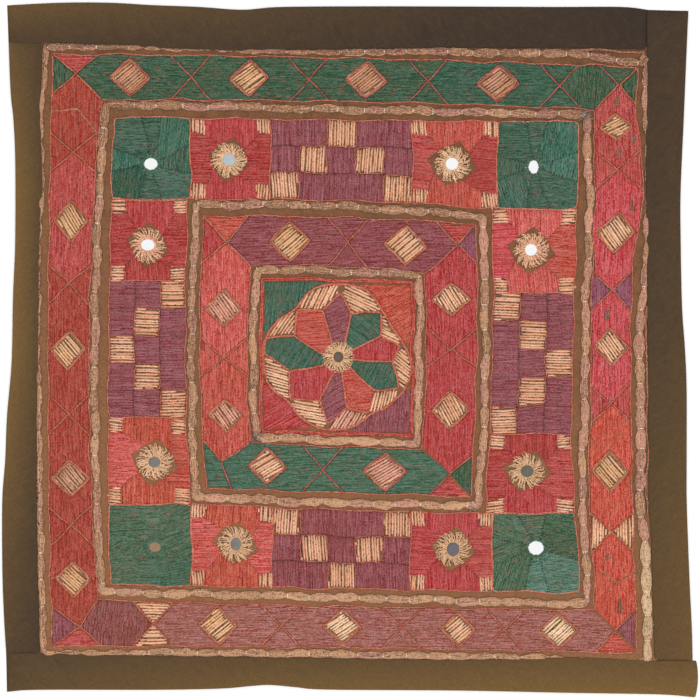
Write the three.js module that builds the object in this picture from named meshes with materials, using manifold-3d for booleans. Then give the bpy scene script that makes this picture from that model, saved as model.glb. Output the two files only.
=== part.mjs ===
import * as THREE from "three";
import { mergeVertices } from "three/addons/utils/BufferGeometryUtils.js";
import Module from "manifold-3d";

// Embroidered table cover with small mirrors, lying flat
// Millimetres, +Z up, +Y towards the top edge of the design
// The origin is on the table, under the middle of the cloth

const clothThickness = 1.2;
const pieceGap = 0.3;

// Stitched fields stand over a thin bed of stitches, with a groove for each outline
const threadBed = 0.4;
const threadRise = 0.6;
const outlineHalf = 0.9;
const fieldMargin = 0.35;

// Crossings and diamonds of the two running bands
const crossingReach = 20;
const diamondHalf = 15;
const diamondOutline = 2.4;

// Mirrors and the stitches that hold them
const glassRadius = 8.6;
const glassThickness = 1;
const glassSides = 10;
const eyeRadius = 6.4;
const holdLip = 0.7;
const holdSegments = 16;
const collarRadius = 12.5;
const rosetteReach = 16.6;
const rosetteDip = 13.8;
const rosetteCentreScale = 0.84;
const windowHalfDiagonal = 25;

// Cords: soft bundles tied down at short steps
const cordHeight = 3.2;
const cordBelly = 7.4;
const cordWaist = 5.4;
const cordStep = 24;
const cordCornerCut = 5;
const cordSway = 0.5;

// Cream corner patches of a mirror square, as a share of its side
const patchShare = 0.165;

// Centre medallion
const medallionCentre = [-11, -7];
const petalCount = 9;
const petalFirstAngle = 91;
const petalRoot = 16.5;
const petalWaist = 45;
const petalTip = 70;
const medallionRadius = 73;
const cornerClearance = 27;

const bedBottom = clothThickness + pieceGap;
const bedTop = bedBottom + threadBed;
const fieldTop = bedTop + threadRise;
const glassTop = bedBottom + glassThickness;
const lipBottom = glassTop + pieceGap;

// Nested frames, from the border seam to the centre square
// Each side bows out by its bow, negative where it bows in
const frames = {
  seam: {
    topLeft: [-306, 306.4], topRight: [297.5, 300], bottomRight: [304.4, -311], bottomLeft: [-308.5, -302.8],
    bow: { top: -2.5, right: -3, bottom: 1, left: 3.8 },
  },
  cordOuter: {
    topLeft: [-302.5, 302], topRight: [294.5, 289.5], bottomRight: [298.5, -307], bottomLeft: [-304.5, -300.5],
    bow: { top: 2, right: -5.5, bottom: 0, left: 4 },
  },
  outerBandOut: {
    topLeft: [-296.5, 296], topRight: [287.5, 283], bottomRight: [288, -303], bottomLeft: [-297.5, -296],
    bow: { top: 2.4, right: -6.5, bottom: -2, left: 4 },
  },
  outerBandIn: {
    topLeft: [-248, 250], topRight: [244.5, 240.5], bottomRight: [245.5, -260], bottomLeft: [-251.5, -250],
    bow: { top: 3.2, right: -3.7, bottom: 1.5, left: 10.5 },
  },
  cordSecond: {
    topLeft: [-242.5, 245], topRight: [237.5, 233.5], bottomRight: [238.5, -254.5], bottomLeft: [-246.5, -242],
    bow: { top: 1, right: -2.5, bottom: 0, left: 8 },
  },
  mirrorBandOut: {
    topLeft: [-237, 233.5], topRight: [229.5, 227.5], bottomRight: [232, -243], bottomLeft: [-240, -236],
    bow: { top: 0, right: -4.5, bottom: 0, left: 4.5 },
  },
  mirrorBandIn: {
    topLeft: [-161.5, 150], topRight: [143, 141], bottomRight: [135.5, -163], bottomLeft: [-159, -153],
    bow: { top: 5, right: 4, bottom: 2, left: 4.5 },
  },
  cordThird: {
    topLeft: [-152.5, 145], topRight: [138, 131.5], bottomRight: [127, -156], bottomLeft: [-153.5, -146.5],
    bow: { top: 4.5, right: 3, bottom: 2, left: 4.5 },
  },
  innerBandOut: {
    topLeft: [-145.5, 134], topRight: [126.5, 126], bottomRight: [121, -147], bottomLeft: [-143, -138],
    bow: { top: 2.5, right: 0, bottom: 0, left: 4 },
  },
  innerBandIn: {
    topLeft: [-99.5, 84.5], topRight: [75.5, 77], bottomRight: [73, -98.5], bottomLeft: [-99.5, -92],
    bow: { top: 3, right: 2.5, bottom: 1.5, left: 2.5 },
  },
  cordCentre: {
    topLeft: [-92.5, 78], topRight: [70.5, 72.5], bottomRight: [67.7, -93.5], bottomLeft: [-93.5, -86.5],
    bow: { top: 1.5, right: 0, bottom: 0, left: 1.5 },
  },
  centreSquare: {
    topLeft: [-86.5, 70], topRight: [63, 66.5], bottomRight: [62, -84.5], bottomLeft: [-87, -81],
    bow: { top: 1, right: 0, bottom: 0, left: 1 },
  },
};

// Each side runs from its first corner to its last; out is the sign of its outward direction
const sides = {
  top: { first: "topLeft", last: "topRight", axis: 0, out: 1 },
  right: { first: "topRight", last: "bottomRight", axis: 1, out: 1 },
  bottom: { first: "bottomLeft", last: "bottomRight", axis: 0, out: -1 },
  left: { first: "topLeft", last: "bottomLeft", axis: 1, out: -1 },
};

// Crossings and diamonds, measured along each side from the middle of the cloth
const outerBand = {
  top: { crossings: [-158.5, -41, 78.5, 210], diamonds: [-220.5, -100.5, 14.5, 146.5] },
  right: { crossings: [180, 59, -53, -182], diamonds: [222, 117, 2, -122] },
  bottom: { crossings: [-196.5, -68.5, 52.5, 155.5], diamonds: [-129.5, -7.5, 106.5, 210.5] },
  left: { crossings: [198, 66, -65, -176], diamonds: [132, 1, -127, -229] },
};
const innerBand = {
  top: { crossings: [-1.5], diamonds: [-58.5, 55.5] },
  right: { crossings: [2], diamonds: [51, -60] },
  bottom: { crossings: [-27], diamonds: [-83.5, 33.5] },
  left: { crossings: [-7], diamonds: [44, -63] },
};

// Stops between the corner squares, mirror squares and check blocks of the mirror band
const mirrorBand = {
  top: [-159, -79, 63, 147.5],
  right: [141, 57, -84, -163.5],
  bottom: [-156.5, -77, 61, 143],
  left: [150, 69, -67.5, -153.5],
};

// Which of the five steps of each row is a cream check, from the outer row inwards
const checkRows = [[2], [1, 3], [0, 4]];
const checkSteps = 5;

const mirrors = [
  { name: "corner_top_left", at: [-198.5, 186] },
  { name: "top_left", at: [-120.5, 190] },
  { name: "top_right", at: [102.5, 186] },
  { name: "corner_top_right", at: [184, 183] },
  { name: "right_upper", at: [181.5, 100] },
  { name: "right_lower", at: [177.5, -121] },
  { name: "corner_bottom_right", at: [186.5, -198] },
  { name: "bottom_right", at: [103.5, -199] },
  { name: "bottom_left", at: [-113.5, -194] },
  { name: "corner_bottom_left", at: [-194.5, -197] },
  { name: "left_lower", at: [-195, -112] },
  { name: "left_upper", at: [-201.5, 105] },
  { name: "centre", at: medallionCentre },
];

// Outer edges of the border, uneven from wear and hand sewing
const borderEdges = {
  top: [
    [-342.2, 344.6], [-289, 347.2], [-240, 347.2], [-196, 344.8], [-150, 343], [-107, 340.2], [-68, 343],
    [24, 343.6], [110, 343.4], [202, 343], [271, 343], [297.4, 340.4],
  ],
  right: [
    [339, 339], [337.2, 300], [334.2, 228], [331.2, 160], [331.2, 112], [332.6, 44], [335.6, 0], [337.2, -40],
    [337.2, -110], [337.4, -156], [340.2, -232], [342.4, -278],
  ],
  bottom: [
    [-342.4, -341.8], [-311, -339.8], [-196, -339.8], [-129, -338.6], [-98, -336], [-79, -335], [-52, -337.4],
    [-22, -339.6], [110, -340.6], [217, -342.8], [309, -344.4], [345.4, -347.2],
  ],
  left: [
    [-338.8, 258], [-336, 230], [-334.2, 190], [-334.2, 110], [-336.4, 53], [-337.8, -12], [-342.4, -66],
    [-344.2, -110], [-347.1, -150], [-347.1, -216], [-345.6, -263],
  ],
};
const stripEnds = { leftTop: -340.8, leftBottom: -343.2, rightBottom: 343.2, bottomRight: 347.1 };

const colours = {
  ground: 0x7d5a3c,
  border: 0x54432f,
  cord: 0xb28c6d,
  green: 0x44735a,
  red: 0xb8484a,
  coral: 0xc65a4c,
  crimson: 0xb03c44,
  purple: 0x86485a,
  cream: 0xc99f76,
  glass: 0xb4bcc0,
};

const wasm = await Module();
wasm.setup();
const { Manifold, Mesh } = wasm;

const scene = new THREE.Group();
scene.name = "embroidered_table_cover";

const mix = THREE.MathUtils.lerp;
const vec = (x, y) => new THREE.Vector2(x, y);

// Frames and bands

function edgeAt(frameName, sideName, along) {
  const frame = frames[frameName];
  const side = sides[sideName];
  const first = frame[side.first];
  const last = frame[side.last];
  const share = (along - first[side.axis]) / (last[side.axis] - first[side.axis]);
  const swell = Math.max(0, 4 * share * (1 - share));
  const across = mix(first[1 - side.axis], last[1 - side.axis], share);
  return across + side.out * frame.bow[sideName] * swell;
}

function bandPoint(outName, inName, sideName, along, share) {
  const across = mix(edgeAt(outName, sideName, along), edgeAt(inName, sideName, along), share);
  return sides[sideName].axis === 0 ? vec(along, across) : vec(across, along);
}

function corner(frameName, cornerName) {
  return vec(...frames[frameName][cornerName]);
}

function edgeRun(frameName, sideName, steps) {
  const side = sides[sideName];
  const from = frames[frameName][side.first][side.axis];
  const to = frames[frameName][side.last][side.axis];
  const run = [];
  for (let i = 0; i <= steps; i += 1) {
    run.push(bandPoint(frameName, frameName, sideName, mix(from, to, i / steps), 0));
  }
  return run;
}

function quadPoint(quad, u, v) {
  const near = quad[0].clone().lerp(quad[1], u);
  const far = quad[3].clone().lerp(quad[2], u);
  return near.lerp(far, v);
}

function inset(points, distance) {
  const ring = THREE.ShapeUtils.isClockWise(points) ? [...points].reverse() : points;
  return ring.map((point, i) => {
    const before = ring[(i + ring.length - 1) % ring.length];
    const after = ring[(i + 1) % ring.length];
    const arriving = point.clone().sub(before).normalize();
    const leaving = after.clone().sub(point).normalize();
    const normal = vec(-arriving.y - leaving.y, arriving.x + leaving.x);
    return point.clone().addScaledVector(normal, distance / (1 + arriving.dot(leaving)));
  });
}

function polar(centre, radius, degrees) {
  const angle = THREE.MathUtils.degToRad(degrees);
  return vec(centre[0] + radius * Math.cos(angle), centre[1] + radius * Math.sin(angle));
}

function circle(centre, radius, count, turn = 0) {
  return Array.from({ length: count }, (_, i) => polar(centre, radius, turn + (360 * i) / count));
}

// Solids

function solidFrom(geometry) {
  geometry.deleteAttribute("normal");
  geometry.deleteAttribute("uv");
  const welded = mergeVertices(geometry, 1e-4);
  return new Manifold(
    new Mesh({
      numProp: 3,
      vertProperties: new Float32Array(welded.attributes.position.array),
      triVerts: new Uint32Array(welded.index.array),
    }),
  );
}

function slab(outline, holes, bottom, top) {
  const shape = new THREE.Shape(outline);
  shape.holes = holes.map((hole) => new THREE.Path(hole));
  const geometry = new THREE.ExtrudeGeometry(shape, { depth: top - bottom, bevelEnabled: false });
  return solidFrom(geometry.translate(0, 0, bottom));
}

// A closed tube of rings, joined end to end and around
function tube(rings) {
  const around = rings[0].length;
  const positions = rings.flat().flatMap((point) => [point.x, point.y, point.z]);
  const indices = [];
  for (let i = 0; i < rings.length; i += 1) {
    const here = i * around;
    const next = ((i + 1) % rings.length) * around;
    for (let j = 0; j < around; j += 1) {
      const side = (j + 1) % around;
      indices.push(here + j, next + j, next + side, here + j, next + side, here + side);
    }
  }
  const geometry = new THREE.BufferGeometry();
  geometry.setAttribute("position", new THREE.Float32BufferAttribute(positions, 3));
  geometry.setIndex(indices);
  return solidFrom(geometry);
}

function addPart(name, colour, solid) {
  const mesh = solid.getMesh();
  const geometry = new THREE.BufferGeometry();
  geometry.setAttribute("position", new THREE.Float32BufferAttribute(mesh.vertProperties, 3));
  geometry.setIndex(new THREE.Uint32BufferAttribute(mesh.triVerts, 1));
  geometry.computeVertexNormals();
  const material = new THREE.MeshStandardMaterial({ color: colours[colour], roughness: 0.9 });
  const part = new THREE.Mesh(geometry, material);
  part.name = name;
  scene.add(part);
}

// A bed of stitches with raised fields on it
function stitched(bed, bedHoles, fields) {
  const solids = [slab(bed, bedHoles, bedBottom, bedTop)];
  for (const field of fields) {
    solids.push(slab(field.outline, field.holes ?? [], bedBottom + threadBed / 2, fieldTop));
  }
  return Manifold.union(solids);
}

// Ground panel and border strips

const half = pieceGap / 2;
const panelOutline = [
  ...edgeRun("seam", "top", 8).slice(0, -1),
  ...edgeRun("seam", "right", 8).slice(0, -1),
  ...edgeRun("seam", "bottom", 8).reverse().slice(0, -1),
  ...edgeRun("seam", "left", 8).reverse().slice(0, -1),
];
addPart("ground_panel", "ground", slab(inset(panelOutline, half), [], 0, clothThickness));

function edgeSpline(sideName, before = [], after = []) {
  const knots = [...before, ...borderEdges[sideName].map((knot) => vec(...knot)), ...after];
  return new THREE.SplineCurve(knots).getPoints((knots.length - 1) * 3);
}

function seamPoint(sideName, along) {
  return bandPoint("seam", "seam", sideName, along, 0);
}

function seamRun(sideName, from, to) {
  return Array.from({ length: 13 }, (_, i) => seamPoint(sideName, mix(from, to, i / 12)));
}

const { topLeft, topRight, bottomRight, bottomLeft } = frames.seam;
const leftTopEnd = seamPoint("top", stripEnds.leftTop);
const leftBottomEnd = seamPoint("bottom", stripEnds.leftBottom);
const rightBottomEnd = seamPoint("bottom", stripEnds.rightBottom);
const stripOutlines = {
  top: [...edgeSpline("top"), ...seamRun("top", topRight[0], topLeft[0]), leftTopEnd],
  right: [
    vec(topRight[0], 340.2),
    ...edgeSpline("right", [], [rightBottomEnd]),
    ...seamRun("right", bottomRight[1], topRight[1]),
  ],
  bottom: [
    leftBottomEnd,
    ...seamRun("bottom", bottomLeft[0], bottomRight[0]),
    rightBottomEnd,
    vec(stripEnds.bottomRight, rightBottomEnd.y - 5),
    ...edgeSpline("bottom").reverse(),
  ],
  left: [
    ...seamRun("left", topLeft[1], bottomLeft[1]),
    ...edgeSpline("left", [leftTopEnd], [leftBottomEnd]).reverse(),
  ],
};
for (const sideName of Object.keys(sides)) {
  const outline = inset(stripOutlines[sideName], half);
  addPart(`border_${sideName}`, "border", slab(outline, [], 0, clothThickness));
}

// Couched cords

function cordPath(frameName) {
  const loop = [
    ["top", false],
    ["right", false],
    ["bottom", true],
    ["left", true],
  ];
  const knots = [];
  for (const [sideName, backwards] of loop) {
    const side = sides[sideName];
    const from = frames[frameName][side.first][side.axis];
    const to = frames[frameName][side.last][side.axis];
    const cut = cordCornerCut * Math.sign(to - from);
    const run = [0, 0.25, 0.5, 0.75, 1].map((share) => {
      const point = bandPoint(frameName, frameName, sideName, mix(from + cut, to - cut, share), 0);
      return new THREE.Vector3(point.x, point.y, bedBottom);
    });
    knots.push(...(backwards ? run.reverse() : run));
  }
  return new THREE.CatmullRomCurve3(knots, true, "centripetal");
}

function cordRings(frameName) {
  const path = cordPath(frameName);
  path.arcLengthDivisions = 800;
  const ringCount = 2 * Math.round(path.getLength() / cordStep);
  const rings = [];
  for (let i = 0; i < ringCount; i += 1) {
    const share = i / ringCount;
    const point = path.getPointAt(share);
    const tangent = path.getTangentAt(share);
    const width = i % 2 === 0 ? cordWaist : cordBelly;
    const height = i % 2 === 0 ? cordHeight * 0.72 : cordHeight;
    const across = new THREE.Vector3(-tangent.y, tangent.x, 0).normalize();
    const sway = i % 2 === 0 ? 0 : cordSway * Math.sin(i * 1.7);
    const place = (side, up) => point.clone().addScaledVector(across, side + sway).setZ(bedBottom + up);
    rings.push([
      place(width * 0.36, 0),
      place(-width * 0.36, 0),
      place(-width * 0.5, height * 0.5),
      place(-width * 0.2, height),
      place(width * 0.2, height),
      place(width * 0.5, height * 0.5),
    ]);
  }
  return rings;
}

addPart("cord_outer", "cord", tube(cordRings("cordOuter")));
addPart("cord_second", "cord", tube(cordRings("cordSecond")));
addPart("cord_third", "cord", tube(cordRings("cordThird")));
addPart("cord_centre", "cord", tube(cordRings("cordCentre")));

// Running bands with crossings and diamonds

function bandSolid(outName, inName, sideName, pattern) {
  const side = sides[sideName];
  const place = (along, share) => bandPoint(outName, inName, sideName, along, share);
  const cornerMiddle = (name) => corner(outName, name).lerp(corner(inName, name), 0.5);
  const start = cornerMiddle(side.first);
  const end = cornerMiddle(side.last);
  const firstAlong = start.getComponent(side.axis);
  const lastAlong = end.getComponent(side.axis);
  const step = crossingReach * Math.sign(lastAlong - firstAlong);
  const fields = [];

  const stops = [
    { middle: start, along: firstAlong, inner: corner(inName, side.first) },
    ...pattern.crossings.map((along) => ({ middle: place(along, 0.5), along })),
    { middle: end, along: lastAlong, inner: corner(inName, side.last) },
  ];

  for (let i = 0; i + 1 < stops.length; i += 1) {
    const from = stops[i];
    const to = stops[i + 1];
    const cell = [
      from.middle,
      place(from.along + step, 0),
      place(to.along - step, 0),
      to.middle,
      to.inner ?? place(to.along - step, 1),
      from.inner ?? place(from.along + step, 1),
    ];
    const low = Math.min(from.along, to.along);
    const high = Math.max(from.along, to.along);
    const diamond = pattern.diamonds.find((along) => along > low && along < high);
    const field = { outline: inset(cell, outlineHalf), holes: [] };
    if (diamond !== undefined) {
      const width = Math.abs(edgeAt(outName, sideName, diamond) - edgeAt(inName, sideName, diamond));
      const points = (reach) => [
        place(diamond - reach, 0.5),
        place(diamond, 0.5 - reach / width),
        place(diamond + reach, 0.5),
        place(diamond, 0.5 + reach / width),
      ];
      field.holes.push(points(diamondHalf + diamondOutline));
      fields.push({ outline: inset(points(diamondHalf), 0) });
    }
    fields.push(field);
  }

  for (const stop of stops.slice(1, -1)) {
    for (const edge of [0, 1]) {
      const wedge = [place(stop.along - step, edge), place(stop.along + step, edge), stop.middle];
      fields.push({ outline: inset(wedge, outlineHalf) });
    }
  }
  const startWedge = [corner(outName, side.first), place(firstAlong + step, 0), start];
  const endWedge = [corner(outName, side.last), place(lastAlong - step, 0), end];
  fields.push({ outline: inset(startWedge, outlineHalf) });
  fields.push({ outline: inset(endWedge, outlineHalf) });

  const bed = [...edgeRun(outName, sideName, 10), ...edgeRun(inName, sideName, 10).reverse()];
  return stitched(inset(bed, fieldMargin), [], fields);
}

const outerBandColours = { top: "green", right: "red", bottom: "purple", left: "red" };
const innerBandColours = { top: "purple", right: "crimson", bottom: "green", left: "coral" };
for (const sideName of Object.keys(sides)) {
  const outer = bandSolid("outerBandOut", "outerBandIn", sideName, outerBand[sideName]);
  addPart(`outer_band_${sideName}`, outerBandColours[sideName], outer);
  const inner = bandSolid("innerBandOut", "innerBandIn", sideName, innerBand[sideName]);
  addPart(`inner_band_${sideName}`, innerBandColours[sideName], inner);
}

// Mirrors and their rosettes

function mirrorAt(name) {
  return mirrors.find((mirror) => mirror.name === name).at;
}

mirrors.forEach((mirror, i) => {
  const outline = circle(mirror.at, glassRadius, glassSides, i * 23);
  addPart(`mirror_${mirror.name}`, "glass", slab(outline, [], bedBottom, glassTop));
});

function ringProfile(scale, reach) {
  const pocket = glassRadius + pieceGap;
  return [
    [eyeRadius, lipBottom],
    [pocket, lipBottom],
    [pocket, bedBottom],
    [reach * scale, bedBottom],
    [reach * scale, bedBottom + threadBed],
    [(pocket + reach * scale) / 2, lipBottom + holdLip],
    [eyeRadius, lipBottom + holdLip * 0.8],
  ];
}

function holdingRing(centre, scale, reach, dip) {
  const rings = [];
  for (let i = 0; i < holdSegments; i += 1) {
    const profile = ringProfile(scale, i % 2 === 0 ? reach : dip);
    rings.push(
      profile.map(([radius, up]) => {
        const point = polar(centre, radius, (360 * i) / holdSegments);
        return new THREE.Vector3(point.x, point.y, up);
      }),
    );
  }
  return tube(rings);
}

// Mirror band: corner squares, mirror squares and check blocks

const cornerSquares = [
  { name: "top_left", corner: "topLeft", across: ["top", 0], down: ["left", 0] },
  { name: "top_right", corner: "topRight", across: ["top", 3], down: ["right", 0] },
  { name: "bottom_right", corner: "bottomRight", across: ["bottom", 3], down: ["right", 3] },
  { name: "bottom_left", corner: "bottomLeft", across: ["bottom", 0], down: ["left", 3] },
];
for (const square of cornerSquares) {
  const [acrossSide, acrossStop] = square.across;
  const [downSide, downStop] = square.down;
  const x = mirrorBand[acrossSide][acrossStop];
  const y = mirrorBand[downSide][downStop];
  const outline = [
    corner("mirrorBandOut", square.corner),
    vec(x, edgeAt("mirrorBandOut", acrossSide, x)),
    vec(x, y),
    vec(edgeAt("mirrorBandOut", downSide, y), y),
  ];
  const eye = mirrorAt(`corner_${square.name}`);
  const pocket = circle(eye, glassRadius + pieceGap, holdSegments);
  const field = { outline: inset(outline, outlineHalf + fieldMargin), holes: [pocket] };
  const cloth = stitched(inset(outline, fieldMargin), [pocket], [field]);
  const collar = holdingRing(eye, 1, collarRadius, collarRadius);
  addPart(`corner_square_${square.name}`, "green", cloth.add(collar));
}

function sideQuad(sideName, from, to) {
  const place = (along, share) => bandPoint("mirrorBandOut", "mirrorBandIn", sideName, along, share);
  return [place(from, 0), place(to, 0), place(to, 1), place(from, 1)];
}

function mirrorSquare(quad, eye) {
  const place = (u, v) => quadPoint(quad, u, v);
  const edge = 0.014;
  const near = patchShare + edge;
  const far = 1 - near;
  const cross = [
    [near, edge], [far, edge], [far, near], [1 - edge, near], [1 - edge, far], [far, far],
    [far, 1 - edge], [near, 1 - edge], [near, far], [edge, far], [edge, near], [near, near],
  ];
  const window = circle(eye, windowHalfDiagonal, 4, 8);
  const fields = [{ outline: cross.map(([u, v]) => place(u, v)), holes: [inset(window, -outlineHalf)] }];
  for (const u of [0, 1]) {
    for (const v of [0, 1]) {
      const size = patchShare - edge / 2;
      const low = (share) => mix(edge, 1 - edge - size, share);
      const high = (share) => low(share) + size;
      fields.push({
        outline: [
          place(low(u), low(v)),
          place(high(u), low(v)),
          place(high(u), high(v)),
          place(low(u), high(v)),
        ],
      });
    }
  }
  return stitched(inset(quad, fieldMargin), [window], fields);
}

function checkBlock(quad) {
  const fields = [];
  for (let row = 0; row < checkRows.length; row += 1) {
    for (let step = 0; step < checkSteps; step += 1) {
      const u = step / checkSteps;
      const v = row / checkRows.length;
      const uNext = (step + 1) / checkSteps;
      const vNext = (row + 1) / checkRows.length;
      const cell = [
        quadPoint(quad, u, v),
        quadPoint(quad, uNext, v),
        quadPoint(quad, uNext, vNext),
        quadPoint(quad, u, vNext),
      ];
      const margin = checkRows[row].includes(step) ? outlineHalf : outlineHalf * 0.7;
      fields.push({ outline: inset(cell, margin) });
    }
  }
  return stitched(inset(quad, fieldMargin), [], fields);
}

const squareNames = {
  top: ["top_left", "top_right"],
  right: ["right_upper", "right_lower"],
  bottom: ["bottom_left", "bottom_right"],
  left: ["left_upper", "left_lower"],
};
for (const sideName of Object.keys(sides)) {
  const stops = mirrorBand[sideName];
  const [firstName, lastName] = squareNames[sideName];
  const firstQuad = sideQuad(sideName, stops[0], stops[1]);
  const lastQuad = sideQuad(sideName, stops[2], stops[3]);
  addPart(`mirror_square_${firstName}`, "red", mirrorSquare(firstQuad, mirrorAt(firstName)));
  addPart(`mirror_square_${lastName}`, "red", mirrorSquare(lastQuad, mirrorAt(lastName)));
  addPart(`check_block_${sideName}`, "purple", checkBlock(sideQuad(sideName, stops[1], stops[2])));
  for (const name of [firstName, lastName]) {
    addPart(`rosette_${name}`, "cream", holdingRing(mirrorAt(name), 1, rosetteReach, rosetteDip));
  }
}

// Centre medallion

const medallionFields = [];
const petalTurn = 360 / petalCount;
for (let i = 0; i < petalCount; i += 1) {
  const angle = petalFirstAngle - i * petalTurn;
  const next = angle - petalTurn;
  const waistTurn = petalTurn / 2 - 1.6;
  const petal = [
    polar(medallionCentre, petalRoot, angle - petalTurn / 3),
    polar(medallionCentre, petalWaist, angle - waistTurn),
    polar(medallionCentre, petalTip, angle),
    polar(medallionCentre, petalWaist, angle + waistTurn),
    polar(medallionCentre, petalRoot, angle + petalTurn / 3),
  ];
  medallionFields.push({ outline: inset(petal, 0.2) });
  const rim = [
    polar(medallionCentre, petalWaist + 4, angle - petalTurn / 2),
    polar(medallionCentre, medallionRadius - 1.6, next + 3),
    polar(medallionCentre, medallionRadius, next + petalTurn / 2),
    polar(medallionCentre, medallionRadius - 1.6, angle - 3),
  ];
  medallionFields.push({ outline: inset(rim, 0.3) });
}

const cornerTurns = { topRight: 45, topLeft: 135, bottomLeft: 225, bottomRight: 315 };
for (const [cornerName, turn] of Object.entries(cornerTurns)) {
  const point = corner("centreSquare", cornerName);
  const inwardX = -Math.sign(point.x);
  const inwardY = -Math.sign(point.y);
  const arc = [-22, -11, 0, 11, 22].map((delta) => polar(medallionCentre, medallionRadius + 2.2, turn + delta));
  const flip = cornerName === "topLeft" || cornerName === "bottomRight";
  const onAcross = vec(medallionCentre[0] - inwardX * cornerClearance, point.y + inwardY * 2);
  const onDown = vec(point.x + inwardX * 2, medallionCentre[1] - inwardY * cornerClearance);
  const tip = vec(point.x + inwardX * 2, point.y + inwardY * 2);
  const ends = flip ? [onAcross, tip, onDown] : [onDown, tip, onAcross];
  medallionFields.push({ outline: inset([...ends, ...arc.reverse()], 0) });
}

const centreBed = [
  ...edgeRun("centreSquare", "top", 4).slice(0, -1),
  ...edgeRun("centreSquare", "right", 4).slice(0, -1),
  ...edgeRun("centreSquare", "bottom", 4).reverse().slice(0, -1),
  ...edgeRun("centreSquare", "left", 4).reverse().slice(0, -1),
];
const centreWindow = circle(medallionCentre, rosetteReach * rosetteCentreScale + pieceGap, 18);
addPart("centre_medallion", "coral", stitched(inset(centreBed, fieldMargin), [centreWindow], medallionFields));
addPart("rosette_centre", "cream", holdingRing(medallionCentre, rosetteCentreScale, rosetteReach, rosetteDip));

export default scene;
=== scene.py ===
import math

import bpy
import numpy as np
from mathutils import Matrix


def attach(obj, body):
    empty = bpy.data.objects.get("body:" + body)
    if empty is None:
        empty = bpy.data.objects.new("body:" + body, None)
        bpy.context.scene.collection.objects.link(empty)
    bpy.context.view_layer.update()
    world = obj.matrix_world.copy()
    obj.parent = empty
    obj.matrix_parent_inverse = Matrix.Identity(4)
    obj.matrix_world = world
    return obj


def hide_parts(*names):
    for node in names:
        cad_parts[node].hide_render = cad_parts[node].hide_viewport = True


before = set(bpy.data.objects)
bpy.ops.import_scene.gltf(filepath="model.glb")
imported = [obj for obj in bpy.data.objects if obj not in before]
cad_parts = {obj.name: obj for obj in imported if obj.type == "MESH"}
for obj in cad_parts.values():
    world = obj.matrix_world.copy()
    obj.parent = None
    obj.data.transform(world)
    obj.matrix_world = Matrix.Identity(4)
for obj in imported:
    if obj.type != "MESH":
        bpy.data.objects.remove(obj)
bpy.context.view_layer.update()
rng = np.random.default_rng(2206)  # one seed for all the unevenness of handwork
mm = 0.001  # the pattern is laid out in millimetres, meshes are made in metres
clothTop = 1.2  # height of the ground cloth's face
clothUnder = 0.05
print("frame loaded with", len(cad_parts), "nodes")


# Shader helpers

def dye(red, green, blue):  # screen colour to the linear one that sockets take
    linear = []
    for part in (red / 255, green / 255, blue / 255):
        linear.append(part / 12.92 if part <= 0.04045 else ((part + 0.055) / 1.055) ** 2.4)
    return (*linear, 1.0)


def addNode(tree, kind, **settings):
    node = tree.nodes.new(kind)
    node.location = (200 * len(tree.nodes), 0)  # all in one row
    for name, value in settings.items():
        setattr(node, name, value)
    return node


def feed(tree, socket, value):
    if isinstance(value, bpy.types.NodeSocket):
        tree.links.new(value, socket)
    else:
        socket.default_value = value


def fill(tree, node, **values):  # feeds sockets by their names, written with underscores
    for name, value in values.items():
        feed(tree, node.inputs[name.replace("_", " ")], value)
    return node.outputs


def maths(tree, kind, *values, clamp=False):
    node = addNode(tree, "ShaderNodeMath", operation=kind, use_clamp=clamp)
    for socket, value in zip(node.inputs, values):
        feed(tree, socket, value)
    return node.outputs[0]


def blend(tree, share, first, second):
    node = addNode(tree, "ShaderNodeMix", data_type="RGBA")
    for place, value in ((0, share), (6, first), (7, second)):  # sockets 6 and 7 take colours
        feed(tree, node.inputs[place], value)
    return node.outputs[2]


def noise(tree, where, scale, detail=2.0, roughness=0.55):
    node = addNode(tree, "ShaderNodeTexNoise")
    return fill(tree, node, Vector=where, Scale=scale, Detail=detail, Roughness=roughness)["Fac"]


def spread(tree, value, low, high, toLow=0.0, toHigh=1.0):
    node = addNode(tree, "ShaderNodeMapRange")
    return fill(tree, node, Value=value, From_Min=low, From_Max=high, To_Min=toLow, To_Max=toHigh)["Result"]


def addBump(tree, height, distance, strength):
    node = addNode(tree, "ShaderNodeBump")
    return fill(tree, node, Height=height, Distance=distance, Strength=strength)["Normal"]


def objectPlace(tree):
    return addNode(tree, "ShaderNodeTexCoord").outputs["Object"]


def newGroup(name, inputs, outputs):  # sockets take a colour or a number
    group = bpy.data.node_groups.new(name, "ShaderNodeTree")
    for label, start in inputs.items():
        kind = "NodeSocketColor" if isinstance(start, tuple) else "NodeSocketFloat"
        group.interface.new_socket(name=label, in_out="INPUT", socket_type=kind).default_value = start
    for label in outputs:
        kind = "NodeSocketColor" if label == "Colour" else "NodeSocketFloat"
        group.interface.new_socket(name=label, in_out="OUTPUT", socket_type=kind)
    return group, addNode(group, "NodeGroupInput").outputs, addNode(group, "NodeGroupOutput")


# Strand fibre: the strand attribute holds the way along in mm, the way across and a tint
fibrePlan = dict(slant=0.35, twist=0.05, grain=3.8, paintedFlankShade=-0.34, middle=1.8, dull=0.8, gloss=0.55, ply=0.5)


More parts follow.
